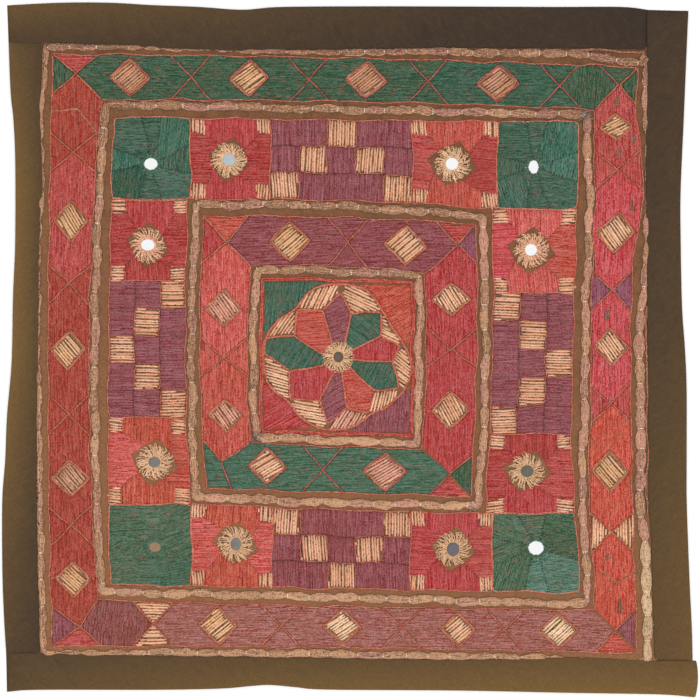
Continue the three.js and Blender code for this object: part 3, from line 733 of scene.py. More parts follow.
def makeGround():
    count = int(groundPlan["wide"] / groundPlan["step"])
    top, bottom, left, right = (edgeRun("seam", side, count) for side in ("top", "bottom", "left", "right"))
    share = np.linspace(0, 1, count)
    u, v = share[:, None, None], share[None, :, None]
    grid = (1 - v) * top[:, None] + v * bottom[:, None] + (1 - u) * left[None] + u * right[None]
    grid -= (1 - u) * (1 - v) * top[0] + u * (1 - v) * top[-1] + (1 - u) * v * bottom[0] + u * v * bottom[-1]
    grid *= 1 + groundPlan["lap"] / groundPlan["half"]  # the panel runs on a little under the strips
    x, y = grid[..., 0], grid[..., 1]
    swell = lambda a, b, turn, drift: groundPlan["pucker"] * np.sin(a * turn + 2 * np.sin(b * drift))
    pucker = swell(x, y, 0.31, 0.05) + swell(y, x, 0.27, 0.06)
    pucker += rng.normal(0, groundPlan["rough"], x.shape)
    up = clothTop - groundPlan["sunk"] + pucker
    # the panel is paler towards the bottom and the left
    reach = groundPlan["palenessReach"]
    paleness = groundPlan["paleness"] - groundPlan["palenessX"] * x / reach - groundPlan["palenessY"] * y / reach
    paleness = np.clip(paleness + rng.normal(0, groundPlan["palenessRough"], x.shape), 0, 1)
    return asPiece(sheetObject("groundCloth", grid, up, groundCotton, paleness), "ground_panel")


groundCloth = makeGround()
print("ground cloth made")

borderEdges = {  # outer edge of each strip, along the cloth
    "top": (
        (-342.2, 344.6), (-289, 347.2), (-240, 347.2), (-196, 344.8), (-150, 343), (-107, 340.2),
        (-68, 343), (24, 343.6), (110, 343.4), (202, 343), (271, 343), (297.4, 340.4),
    ),
    "right": (
        (339, 339), (337.2, 300), (334.2, 228), (331.2, 160), (331.2, 112), (332.6, 44), (335.6, 0),
        (337.2, -40), (337.2, -110), (337.4, -156), (340.2, -232), (342.4, -278), (343.2, -311.6),
    ),
    "bottom": (
        (-342.4, -341.8), (-311, -339.8), (-196, -339.8), (-129, -338.6), (-98, -336), (-79, -335),
        (-52, -337.4), (-22, -339.6), (110, -340.6), (217, -342.8), (309, -344.4), (345.4, -347.2),
    ),
    "left": (
        (-340.9, 309.5), (-338.8, 258), (-336, 230), (-334.2, 190), (-334.2, 110), (-336.4, 53),
        (-337.8, -12), (-342.4, -66), (-344.2, -110), (-347.1, -150), (-347.1, -216), (-345.6, -263),
        (-343.1, -305.5),
    ),
}
stripEnds = {  # along the cloth
    "top": (-340.8, 297.4), "right": (340, -311), "bottom": (-343.2, 346.2), "left": (309.5, -305.5),
}
stripSway = {  # share along the side, how far the strip's inner edge strays inwards from the seam
    "top": (
        (0, -0.5), (0.09, 0), (0.25, 2.9), (0.32, 3.4), (0.37, 2.7), (0.5, 0.7), (0.67, -2), (0.88, -1.6),
        (1, 0),
    ),
    "right": ((0, 0.3), (0.2, 1), (0.35, 0.2), (0.55, 0.2), (0.66, 0.9), (0.74, 2), (0.8, 0), (1, 0)),
    "bottom": ((0, 0), (0.7, 0), (0.78, 1.4), (0.87, 3.9), (0.94, 2.2), (1, 0.5)),
    "left": (
        (0, 0.2), (0.12, -0.6), (0.19, 1.5), (0.24, 3.2), (0.29, 0.5), (0.55, 0), (0.7, -1.2), (0.82, -1.2),
        (1, 0),
    ),
}
stripPaleness = {  # how much paler the rim is from start to end, partly faded dye and partly a painted glow of backlight at the outer edge, then how much of that reaches the inner edge
    "top": ((0.52, 0.34, 0.2, 0.05, 0.0), 0.4),
    "right": ((0.1, 0.17, 0.26, 0.46, 0.62), 0.72),
    "bottom": ((0.36, 0.6, 0.74, 0.83, 0.92), 0.6),
    "left": ((0.52, 0.84, 0.9, 0.58, 0.24), 0.4),
}
stripLift = (  # share of the width from the seam out, height
    (0, 0.5), (0.012, 1.5), (0.03, 1.9), (0.1, 1.75), (0.2, 1.3), (0.8, 1.2), (0.86, 1.45), (0.95, 1.6),
    (0.98, 1.45), (0.995, 1.0), (1, 0.35),
)
stripRows = (0, 0.012, 0.03, 0.06, 0.1, 0.18, 0.3, 0.45, 0.6, 0.72, 0.8, 0.86, 0.9, 0.95, 0.98, 0.995, 1)
stripWaves = ((0.12, 0.09, 0.05, 0), (0.1, -0.04, 0.11, 0))
borderPlan = dict(
    colour=(63, 51, 43), aged=(74, 59, 45), paledTone=(138, 105, 58), gap=(34, 26, 20), lift=0.008,
    yarns=1900.0, slub=1.0, ageing=0.5, patches=9.0, relief=0.0001,
    columns=170, rough=0.025, palenessRough=0.03, palenessFrom=0.1, earFrom=0.985, ear=2.6,
    endRun=1.5, endLow=0.35,  # columns over which an end drops, and how far
)
borderCotton = clothMaterial("borderCotton", borderPlan)


def throughKnots(knots, count):  # smooth run through the knots, evenly spaced along
    knots = np.asarray(knots, float)
    padded = np.concatenate((2 * knots[:1] - knots[1:2], knots, 2 * knots[-1:] - knots[-2:-1]))
    t = np.linspace(0, 1, 12, endpoint=False)[:, None]
    run = []
    for p0, p1, p2, p3 in zip(padded, padded[1:], padded[2:], padded[3:]):
        square, cube = 2 * p0 - 5 * p1 + 4 * p2 - p3, 3 * p1 - p0 - 3 * p2 + p3
        run.append(0.5 * (2 * p1 + (p2 - p0) * t + square * t**2 + cube * t**3))
    run = np.concatenate(run + [knots[-1:]])
    reach = runLengths(run)
    return pointsAlong(run, reach, np.linspace(0, reach[-1], count))


def stripInner(side, count):
    first, last, axis, out = sideRuns[side][:4]
    low, high = clothFrames["seam"][first][axis], clothFrames["seam"][last][axis]
    at = np.linspace(*stripEnds[side], count)
    inside = np.clip((at - low) / (high - low), 0, 1)
    across = edgeAt("seam", side, low + (high - low) * inside) - out * tableAt(stripSway[side], inside)
    return np.stack((at, across) if axis == 0 else (across, at), axis=1)


def makeStrip(side):
    count = borderPlan["columns"]
    across, share = np.array(stripRows), np.linspace(0, 1, count)
    outer, inner = throughKnots(borderEdges[side], count), stripInner(side, count)
    flat = inner[:, None] + (outer - inner)[:, None] * across[None, :, None]
    if side == "bottom":  # the last corner of the bottom strip stands out a little
        near = np.clip((share - borderPlan["earFrom"]) / (1 - borderPlan["earFrom"]), 0, 1)[:, None]
        flat[:, :, 0] += near * borderPlan["ear"] * np.sin(np.pi * across) ** 0.6
    x, y = flat[..., 0], flat[..., 1]
    wave = ripple(stripWaves, x, y) + rng.normal(0, borderPlan["rough"], x.shape)
    ends = np.minimum(share, 1 - share) * count / borderPlan["endRun"]
    ends = np.clip(ends, borderPlan["endLow"], 1)[:, None]
    up = (tableAt(stripLift, across)[None] + wave * np.sin(np.pi * np.clip(across, 0.02, 0.98))) * ends
    rimPaleness, floor = stripPaleness[side]
    rim = np.interp(share, np.linspace(0, 1, len(rimPaleness)), rimPaleness)[:, None]
    outwards = np.clip((across - borderPlan["palenessFrom"]) / (1 - borderPlan["palenessFrom"]), 0, 1)
    # paler towards the outer edge: partly faded dye, partly a painted glow of backlight
    paleness = rim * (floor + (1 - floor) * outwards)[None]
    paleness = np.clip(paleness + rng.normal(0, borderPlan["palenessRough"], paleness.shape), 0, 1)
    strip = sheetObject("border_cloth_" + side, flat, up, borderCotton, paleness)
    asPiece(strip, "border_" + side)


for side in sideRuns:
    makeStrip(side)
print("border strips made")


# Running bands: cells with diamonds between crossings, on each side of a frame

# a diamond's row: place along the side, half width, half height, stitch turn and floss
outerBand = dict(
    frames=("outerBandOut", "outerBandIn"), reach=20.0, margin=3.6,
    middles=((-272.5, 276.5), (269.5, 266), (266, -279), (-269.5, -276)),  # crossings at the corners
    top=dict(
        crossings=(-158.5, -41, 78.5, 210), slot="green_thread",
        cells=("green", "green", "green", "leaf", "green"), wedges=("green", "green", "green", "leaf"),
        ends=("red", "green"), crossCell=4, line="pink",
        diamonds=(
            (-219.5, 16, 15.5, 40, "fawn"), (-100.2, 16, 15.5, 35, "straw"),
            (17.2, 18, 14.7, 38, "fawn"), (148.3, 17.5, 15.3, 36, "fawn"),
        ),
        lines=(((225, 300.6), (262, 299), (296, 298.2)),),
    ),
    right=dict(
        crossings=(180, 59, -53, -182), slot="red_thread",
        cells=("red", "rose", "rose", "flame", "flame"), wedges=("red", "violet", "red", "cream"),
        ends=("green", "purple"), coarse=42.0,
        diamonds=(
            (222.8, 13.4, 10.6, 25, "straw"), (117.8, 15.6, 18, -55, "cream"),
            (3.5, 14.4, 15, -55, "cream"), (-121.3, 16, 17, -50, "straw"),
        ),
        lines=(((248.5, -219), (267.5, -234), (288.5, -220)), ((296.6, 45), (297.4, -60), (297.6, -165))),
        slits=(  # middle and half length of each worn slit
            (267.3, 249, 5), (283.4, 211, 5), (268.7, 196.5, 5), (282.2, 144, 6), (257.5, 35, 6),
            (257.5, -208, 4), (270.5, -256, 8),
        ),
    ),
    bottom=dict(
        crossings=(-196.5, -68.5, 52.5, 155.5), slot="purple_thread",
        cells=("wine", "mauve", "mauve", "mauve", "mauve"), wedges=("cream", "mauve", "mauve", "mauve"),
        ends=("red", "coral"), crossCell=0,
        diamonds=(
            (-131.3, 16.5, 16.5, 38, "straw"), (-7.2, 17, 13.4, 33, "ivory"),
            (108.2, 14.7, 14, 40, "cream"), (208.5, 15.3, 15.3, 42, "ivory"),
        ),
    ),
    left=dict(
        crossings=(198, 66, -65, -176), slot="red_thread",
        cells=("brick", "red", "brick", "brick", "brick"), wedges=("brick",) * 4, ends=("green", "purple"),
        diamonds=(
            (129.1, 14, 17.8, -60, "straw"), (1, 14, 17, -50, "straw"),
            (-128, 16, 15, -50, "fawn"), (-228.7, 13.8, 14.4, -42, "straw"),
        ),
        lines=(((-298.5, 240), (-273.5, 241), (-252.5, 217)),),
    ),
)
innerBand = dict(
    frames=("innerBandOut", "innerBandIn"), reach=20.0, margin=3.4,
    middles=((-121.7, 107.8), (108, 105.4), (99, -124.2), (-127, -111.2)),
    top=dict(
        crossings=(-1.5,), slot="purple_thread", cells=("plum", "plum"), wedges=("plum",),
        ends=("coral", "red"), diamonds=((-59.6, 17, 17, 40, "straw"), (56.2, 17.5, 17, 40, "cream")),
    ),
    right=dict(
        crossings=(2,), slot="crimson_thread", cells=("crimson", "crimson"), wedges=("crimson",),
        ends=("violet", "green"), diamonds=((50.4, 17, 13.4, -58, "cream"), (-60.3, 16, 17, -62, "cream")),
    ),
    bottom=dict(
        crossings=(-27,), slot="green_thread", cells=("jade", "jade"), wedges=("jade",),
        ends=("jade", "red"), startReach=8.0, mitred=False, line="pink",
        diamonds=((-82.5, 15.3, 15.6, 30, "cream"), (35.6, 18.4, 16, 30, "blush")),
    ),
    left=dict(
        crossings=(-7,), slot="coral_thread", cells=("salmon", "coral"), wedges=("coral",),
        ends=("crimson", None),
        diamonds=((41.6, 15.6, 15.3, -55, "blush"), (-65.4, 14.4, 13.4, -55, "blush")),
    ),
)
bandPlan = dict(
    cellGap=0.9, endGap=1.2, holeGap=1.0, edgePoints=24,
    crossTurn=84, cellStray=1.5, wedgeStray=2, endStray=3,  # degrees
)


def sewDiamond(bag, band, side, row, line):  # returns the hole that its field leaves open
    spot, wide, tall, lean, cream = row
    outName, inName = band["frames"]
    place = lambda at, share: bandPoint(outName, inName, side, at, share)
    reach = (wide, tall) if sideRuns[side][2] == 0 else (tall, wide)  # along the side and across it
    deep = abs(edgeAt(outName, side, spot) - edgeAt(inName, side, spot))

    def diamond(more):
        return [
            place(spot - reach[0] - more, 0.5), place(spot, 0.5 - (reach[1] + more) / deep),
            place(spot + reach[0] + more, 0.5), place(spot, 0.5 + (reach[1] + more) / deep),
        ]

    edge = diamond(band["margin"])
    embroiderCream(bag, diamond(0), lean, cream)
    outlineRun(bag, diamond(band["margin"] / 2), True, floss="ochre", width=2.6, rise=0.7)
    outlineRun(bag, edge, True, floss=line, width=1.7)
    outlineRun(bag, [place(spot, 0.02), edge[1]], floss=line)
    outlineRun(bag, [edge[3], place(spot, 0.98)], floss=line)
    return diamond(band["margin"] + bandPlan["holeGap"])


def makeBand(band, side, name, node):
    plan = band[side]
    outName, inName = band["frames"]
    first, last, axis = sideRuns[side][:3]
    place = lambda spot, share: bandPoint(outName, inName, side, spot, share)
    start, end = np.array(band["middles"][first]), np.array(band["middles"][last])
    forward = np.sign(end[axis] - start[axis])
    step = band["reach"] * forward
    # a stop: place along the side, middle, and the frame's inner corner at the ends
    stops = [(start[axis], start, frameCorner(inName, first))]
    stops += [(spot, place(spot, 0.5), None) for spot in plan["crossings"]]
    stops += [(end[axis], end, frameCorner(inName, last))]
    steps = [plan.get("startReach", band["reach"]) * forward] + [step] * (len(stops) - 1)
    turn, line, mitred = sideTurn[side], plan.get("line", "outline"), plan.get("mitred", True)
    bag = newBag()

    for i, (here, there) in enumerate(zip(stops, stops[1:])):
        cell = [
            here[1], place(here[0] + steps[i], 0), place(there[0] - step, 0), there[1],
            place(there[0] - step, 1) if there[2] is None else there[2],
            place(here[0] + step, 1) if here[2] is None else here[2],
        ]
        low, high = sorted((here[0], there[0]))
        holes = [sewDiamond(bag, band, side, row, line) for row in plan["diamonds"] if low < row[0] < high]
        crossed = plan.get("crossCell") == i
        lay = turn + (bandPlan["crossTurn"] if crossed else rng.normal(0, bandPlan["cellStray"]))
        loop = shrink(cell, bandPlan["cellGap"])
        embroider(bag, loop, plan["cells"][i], lay, holes, coarse=plan.get("coarse", 0))

    for (spot, middle, _), floss in zip(stops[1:-1], plan["wedges"]):
        for share in (0, 1):
            wedge = [place(spot - step, share), place(spot + step, share), middle]
            lay = turn + rng.normal(0, bandPlan["wedgeStray"])
            fieldIn(bag, shrink(wedge, bandPlan["cellGap"]), floss, lay)
        for share in (0, 1):
            outlineRun(bag, [place(spot - step, share), middle, place(spot + step, 1 - share)], floss=line)

    for which, stop, floss, reach in (
        (first, stops[0], plan["ends"][0], steps[0]), (last, stops[-1], plan["ends"][1], -step),
    ):
        wedge = [frameCorner(outName, which), place(stop[0] + reach, 0), stop[1]]
        outlineRun(bag, wedge[1:], floss=line)
        if which == first and not mitred:  # one field round the corner, on to the next side
            wedge.append(bandPoint(outName, inName, "left", stop[1][1] + band["reach"], 0))
        if floss is not None:
            lay = turn + rng.normal(0, bandPlan["endStray"])
            embroider(bag, shrink(wedge, bandPlan["endGap"]), floss, lay)
    outlineRun(bag, [stops[0][1], stops[0][2]])
    if mitred:
        outlineRun(bag, [frameCorner(outName, first), stops[0][1]])
    for points in plan.get("lines", ()):  # seams couched over a brown bed
        outlineRun(bag, points, floss="drab", width=3.4)
        outlineRun(bag, points, rise=1.75, width=1.9)
    for x, y, half in plan.get("slits", ()):  # worn slits where the ground shows
        lows = [(x - 0.7, y - half), (x + 0.9, y + 1 - half)]
        highs = [(x - 0.4, y + half - 1), (x + 0.9, y + half)]
        sew(bag, lows, highs, "drab", 2.8, 1.9)
    for frameName in (outName, inName):
        outlineRun(bag, edgeRun(frameName, side, bandPlan["edgePoints"]))
    return asPiece(stitchObject(name, bag), node)


for side in sideRuns:
    makeBand(outerBand, side, "outer_stitching_" + side, "outer_band_" + side)
    makeBand(innerBand, side, "inner_stitching_" + side, "inner_band_" + side)
print("running bands made")


# Mirrors: cut discs a little out of round, each with its own look: the greyer and browner glasses carry a
# painted reflection of the surroundings

mirrorBook = {  # middle, look of the glass, half width and half height of the glass that shows
    "corner_top_left": (-198.5, 186, "bright", 6.3, 5.5), "top_left": (-120.5, 190, "hazy", 6.4, 5.6),
    "top_right": (102.5, 186, "bright", 6.3, 6.0), "corner_top_right": (184, 183, "bright", 4.6, 6.2),
    "right_upper": (181.5, 100, "bright", 6.1, 5.8), "right_lower": (177.5, -121, "mossy", 6.6, 5.8),
    "corner_bottom_right": (186.5, -198, "bright", 7.2, 6.5),
    "bottom_right": (103.5, -199, "dark", 6.3, 6.9),
    "bottom_left": (-113.5, -194, "ashy", 5.2, 6.5), "corner_bottom_left": (-194.5, -197, "sandy", 5.6, 4.6),
    "left_lower": (-195, -112, "ashy", 5.9, 5.4), "left_upper": (-201.5, 105, "bright", 6.8, 5.6),
    "centre": (-11, -7, "brownish", 4.9, 5.4),
}
glassLooks = {  # colour of the glass, for all but the bright ones a painted reflection of the surroundings, colour of the worn spots, how far they reach, roughness
    "bright": dict(colour=(252, 252, 252), spot=(226, 230, 232), amount=0.15, rough=0.05),
    "hazy": dict(colour=(186, 198, 202), spot=(164, 178, 184), amount=0.7, rough=0.2),
    "dark": dict(colour=(116, 108, 114), spot=(88, 84, 92), amount=0.8, rough=0.22),
    "ashy": dict(colour=(132, 130, 126), spot=(104, 100, 98), amount=0.8, rough=0.22),
    "mossy": dict(colour=(112, 110, 94), spot=(80, 80, 72), amount=0.8, rough=0.22),
    "sandy": dict(colour=(164, 132, 106), spot=(136, 108, 88), amount=0.8, rough=0.25),
    "brownish": dict(colour=(112, 96, 82), spot=(64, 58, 54), amount=0.9, rough=0.18),
}
mirrorPlan = dict(
    around=40, rings=(2.2, 4.4, 6.2, 7.4, 8.1, 8.4), top=2.2, crown=0.25, chamfer=0.3, under=1.3, lean=0.012,
    lobes=((3, 0.025), (5, 0.018)), patches=240.0, spotRough=0.2,
)


def mirrorMaterial(name):
    plan = glassLooks[name]
    material, tree, surface = newMaterial("mirror_" + name)
    age = useAge(tree, dye(*plan["colour"]), plan["spot"], plan["amount"], mirrorPlan["patches"])
    rough = plan["rough"], plan["rough"] + mirrorPlan["spotRough"]
    fill(
        tree, surface, Base_Color=age["Colour"], Roughness=spread(tree, age["Mask"], 0.0, 1.0, *rough),
        Metallic=1.0, Coat_Weight=0.3,
    )
    return material


mirrorMaterials = {name: mirrorMaterial(name) for name in glassLooks}


def makeMirror(name):
    x, y, tone = mirrorBook[name][:3]
    around, rings, under = mirrorPlan["around"], mirrorPlan["rings"], mirrorPlan["under"]
    angle = np.linspace(0, 2 * np.pi, around, endpoint=False)
    phase = rng.uniform(0, 6, 3)
    lobes = [size * np.sin(count * angle + turn) for (count, size), turn in zip(mirrorPlan["lobes"], phase)]
    circle = np.stack((np.cos(angle), np.sin(angle)), axis=1)
    lean = rng.normal(0, mirrorPlan["lean"], 2)
    rows = []
    for radius in rings:
        out = circle * (radius * sum(lobes, 1))[:, None]
        up = mirrorPlan["top"] - mirrorPlan["crown"] * (radius / rings[-1]) ** 2 + out @ lean
        chamfer = mirrorPlan["chamfer"] if radius == rings[-1] else 0
        rows.append(np.column_stack((out + (x, y), up - chamfer)))
    rows.append(np.column_stack((rows[-1][:, :2], np.full(around, under))))
    points = np.concatenate(([(x, y, mirrorPlan["top"])], *rows, [(x, y, under)]))
    index = 1 + np.arange(len(rows) * around).reshape(-1, around)
    after = np.roll(index, -1, axis=1)
    fan = lambda hub, first, second: np.stack((np.full(around, hub), first, second), axis=1)
    faces = np.concatenate((
        fan(0, index[0], after[0]), gridTris(index[:-1], index[1:], after[1:], after[:-1]),
        fan(len(points) - 1, after[-1], index[-1]),
    ))
    disc = makeObject("glass_" + name, points, faces, [mirrorMaterials[tone]])
    return asPiece(disc, "mirror_" + name)


for name in mirrorBook:
    makeMirror(name)
print("mirrors made")


# Holding stitches round each mirror

rosettePlan = dict(
    threads=70, root=8.6, reach=16.8, uneven=1.2, lean=9.0, sway=7.0, curl=0.5,
    # holes are dark flecks, painted shade in the hollows between the threads
    loops=56, loopsAt=(11.5, 15.6), holes=46, hollowShadeAt=(10.4, 14.2), ring=44, hold=10.9,
)
rosetteStitches = {  # width, rise, height at the start and at the end
    "thread": (1.35, 1.1, 1.9, clothTop + 0.3), "curl": (1.8, 1.0), "loop": (1.5, 0.8, 1.8, 1.8),
    "hole": (0.95, 0.6, 2.3, 2.2), "hold": (1.6, 0.9, 2.5, 1.9), "knot": (1.2, 0.7, 2.6, 2.6),
}
rosetteFloss = {"left_upper": "cream", "right_upper": "cream"}  # the others are oat


def eyePoint(name, degrees, outwards):
    x, y, _, wide, tall = mirrorBook[name]
    angle = math.radians(degrees)
    radius = wide * tall / math.hypot(tall * math.cos(angle), wide * math.sin(angle)) + outwards
    return np.array((x + radius * math.cos(angle), y + radius * math.sin(angle)))


def makeRosette(name):
    plan, kinds = rosettePlan, rosetteStitches
    bag = newBag()
    centre, floss = mirrorBook[name][:2], rosetteFloss.get(name, "oat")
    scale, tidy = (0.92, 0.4) if name == "centre" else (1.0, 1.0)  # the middle one is small and even
    for i in range(plan["threads"]):
        turn = 360 * (i + rng.uniform(-0.4, 0.4)) / plan["threads"]
        bent = turn + rng.normal(plan["lean"], plan["sway"] * tidy)
        reach = rng.normal(plan["reach"], plan["uneven"] * tidy) * scale
        root, tip = polar(centre, plan["root"] * scale, turn), polar(centre, reach, bent)
        sew(bag, [root], [tip], floss, *kinds["thread"], tint=0.66, uneven=0.25, bend=0.5)
        curl = polar(centre, reach - plan["curl"], bent + rng.normal(6, 1.5))  # it turns back at its tip
        sew(bag, [tip], [curl], floss, *kinds["curl"], tint=0.75, kind="flecks")
    for i in range(plan["loops"]):  # loops caught across the threads
        turn, near = rng.uniform(0, 360), rng.uniform(*plan["loopsAt"]) * scale
        far = polar(centre, near + rng.normal(0, 0.8), turn + rng.uniform(10, 18))
        sew(bag, [polar(centre, near, turn)], [far], floss, *kinds["loop"], tint=0.6, kind="flecks")
    for i in range(plan["holes"]):  # small dark flecks between the threads, painted shade in the hollows
        turn, near = rng.uniform(0, 360), rng.uniform(*plan["hollowShadeAt"]) * scale
        far = polar(centre, near + rng.uniform(1.0, 2.2), turn + rng.normal(3, 3))
        sew(bag, [polar(centre, near, turn)], [far], "umber", *kinds["hole"], kind="flecks")
    for i in range(plan["ring"]):  # holding stitches over the rim of the glass, knotted along its edge
        turn = 360 * (i + rng.uniform(-0.3, 0.3)) / plan["ring"]
        hold = polar(centre, (plan["hold"] + rng.normal(0, 0.6)) * scale, turn + rng.normal(4, 4))
        sew(bag, [eyePoint(name, turn, rng.normal(0, 0.15))], [hold], floss, *kinds["hold"])
        knot = eyePoint(name, turn - 4, 0.5), eyePoint(name, turn + 360 / plan["ring"] + 3, 0.5)
        sew(bag, [knot[0]], [knot[1]], floss, *kinds["knot"])
    return asPiece(stitchObject("holding_" + name, bag), "rosette_" + name)


for name in mirrorBook:
    if not name.startswith("corner"):
        makeRosette(name)
print("rosettes made")


# Mirror band: corner squares, mirror squares and check blocks

mirrorStops = {  # where the squares and the check block meet along each side
    "top": (-159, -79, 63, 147.5),
    "right": (141, 57, -84, -163.5),
    "bottom": (-158, -77, 61, 143),
    "left": (151, 69, -67.5, -154.5),
}
# stitch turns of the eight wedges, which are lighter, and how far top, right, bottom and left swell
cornerSquares = {
    "top_left": dict(
        corner=0, across=("top", 0), down=("left", 0), turns=(4, 82, 84, 6, -4, 80, 88, 2),
        lighter=(1, 6), main="fir", light="pine", seams=True, swell=(0.6, 0, 1.5, 1.4),
    ),
    "top_right": dict(
        corner=1, across=("top", 3), down=("right", 0), turns=(2, 84, 80, -8, 4, 108, 82, 0),
        lighter=(1, 2), main="fir", light="pine", seams=True, swell=(0.7, 0.8, 0, 0),
    ),
    "bottom_right": dict(
        corner=2, across=("bottom", 3), down=("right", 3), turns=(6, -12, 10, -6, 8, 70, 20, -20),
        lighter=(3, 4), main="moss", light="teal", seams=True, ring=15.8, swell=(0.6, 1.0, 0, 0),
    ),
    "bottom_left": dict(
        corner=3, across=("bottom", 0), down=("left", 3), turns=(-4, 20, 24, 10, 4, 6, 30, 4),
        lighter=(3, 4), main="moss", light="jade", seams=False, swell=(0, 0.8, 0, 0),
    ),
}
cornerPlan = dict(third=0.34, stray=0.03, eye=8.4, longest=12, coarse=15)
cornerRings = ((0.0, 11.6, 44), (0.5, 9.2, 32))  # start off the eye, outer radius and stitches of each ring
seamStitch = dict(floss="forest", step=3.0, rise=1.9, lap=-0.65)


def quadPoint(quad, u, v):
    return (quad[0] * (1 - u) + quad[1] * u) * (1 - v) + (quad[3] * (1 - u) + quad[2] * u) * v


def uprightQuad(quad):  # the same corners from top left, clockwise
    quad = shrink(quad, 0)
    begin = int(np.argmin(quad[:, 0] - quad[:, 1]))
    return np.roll(quad, -begin, axis=0)[[0, 3, 2, 1]]


def makeCornerSquare(name):
    plan = cornerSquares[name]
    (acrossSide, acrossStop), (downSide, downStop) = plan["across"], plan["down"]
    x, y = mirrorStops[acrossSide][acrossStop], mirrorStops[downSide][downStop]
    quad = uprightQuad([
        frameCorner("mirrorBandOut", plan["corner"]), (x, edgeAt("mirrorBandOut", acrossSide, x)),
        (x, y), (edgeAt("mirrorBandOut", downSide, y), y),
    ])
    eye = np.array(mirrorBook["corner_" + name][:2], float)
    third, rest = cornerPlan["third"], 1 - cornerPlan["third"]
    stray = lambda free: rng.normal(0, cornerPlan["stray"]) * free  # only along the rim
    rim = ((third, 0), (rest, 0), (1, third), (1, rest), (rest, 1), (third, 1), (0, rest), (0, third))
    rim = [(u + stray(v in (0, 1)), v + stray(u in (0, 1))) for u, v in rim]
    tips = {1: (1, 0), 3: (1, 1), 5: (0, 1), 7: (0, 0)}  # wedges that reach into a corner
    top, right, bottom, left = plan["swell"]

    def rimPoint(u, v):
        out = right * (u == 1) - left * (u == 0), top * (v == 0) - bottom * (v == 1)
        return quadPoint(quad, u, v) + (out[0] * 4 * v * (1 - v), out[1] * 4 * u * (1 - u))

    near = lambda point: eye + (point - eye) / np.linalg.norm(point - eye) * cornerPlan["eye"]
    edge = []
    bag = newBag()
    for i, degrees in enumerate(plan["turns"]):
        here, there = rimPoint(*rim[i]), rimPoint(*rim[(i + 1) % 8])
        outward = [here] + ([rimPoint(*tips[i])] if i in tips else []) + [there]
        edge += outward[:-1]
        wedge = shrink([near(here)] + outward + [near(there)], -0.3)
        floss, tint = plan["light" if i in plan["lighter"] else "main"], 0.5 + 0.1 * rng.normal()
        embroider(bag, wedge, floss, degrees, (), tint, cornerPlan["longest"], cornerPlan["coarse"])
        if plan["seams"]:
            outlineRun(bag, [near(here), here], width=2.0, **seamStitch)
    if "ring" in plan:
        circle = [polar(eye, plan["ring"], turn) for turn in range(0, 360, 15)]
        outlineRun(bag, circle, True, width=1.8, **seamStitch)
    for ring, (inner, outer, count) in enumerate(cornerRings):
        for i in range(count):
            turn = 360 * (i + rng.uniform(-0.3, 0.3)) / count
            start = eyePoint("corner_" + name, turn, inner + rng.normal(0, 0.2))
            end = polar(eye, outer + rng.normal(0, 0.6), turn + 5)
            floss = rng.choice(("teal", "jade", plan["main"])) if ring == 0 else plan["main"]
            sew(bag, [start], [end], floss, 1.6, 0.8, 2.4 + 0.2 * ring, 1.5, tint=0.45)
    outlineRun(bag, edge, True, width=1.9)
    return asPiece(stitchObject("corner_stitching_" + name, bag), "corner_square_" + name)


for name in cornerSquares:
    makeCornerSquare(name)

# floss of the top, right, bottom and left part, one dark gap thread to so many mm2, painted shade where
# stitches have parted,
# then the bare window round the mirror: half width and its turn, half height and its turn
mirrorSquares = {
    "top_left": (("crimson", "ruby", "crimson", "ruby"), 0, (20.6, -14, 23.1, 74)),
    "top_right": (("coral", "ruby", "coral", "red"), 60.0, (25.9, -13, 23.7, 72)),
    "right_upper": (("salmon", "coral", "salmon", "rose"), 60.0, (24.5, -12, 24, 84)),
    "right_lower": (("ruby", "red", "crimson", "ruby"), 0, (23.9, -10, 22.3, 67)),
    "bottom_left": (("scarlet", "salmon", "scarlet", "salmon"), 80.0, (24.5, -12, 21.4, 82)),
    "bottom_right": (("crimson", "red", "crimson", "crimson"), 0, (23.2, -12, 23.3, 77)),
    "left_upper": (("crimson", "ruby", "ruby", "ruby"), 150.0, (22.3, -18, 23.3, 84)),
    "left_lower": (("scarlet", "coral", "scarlet", "salmon"), 70.0, (24.8, -16, 23.5, 79)),
}
squarePlan = dict(patch=0.178, smallest=0.86, largest=1.14, swell=1.14, longest=14)
squareCorners = ((0, 0), (1, 0), (1, 1), (0, 1))  # clockwise from top left


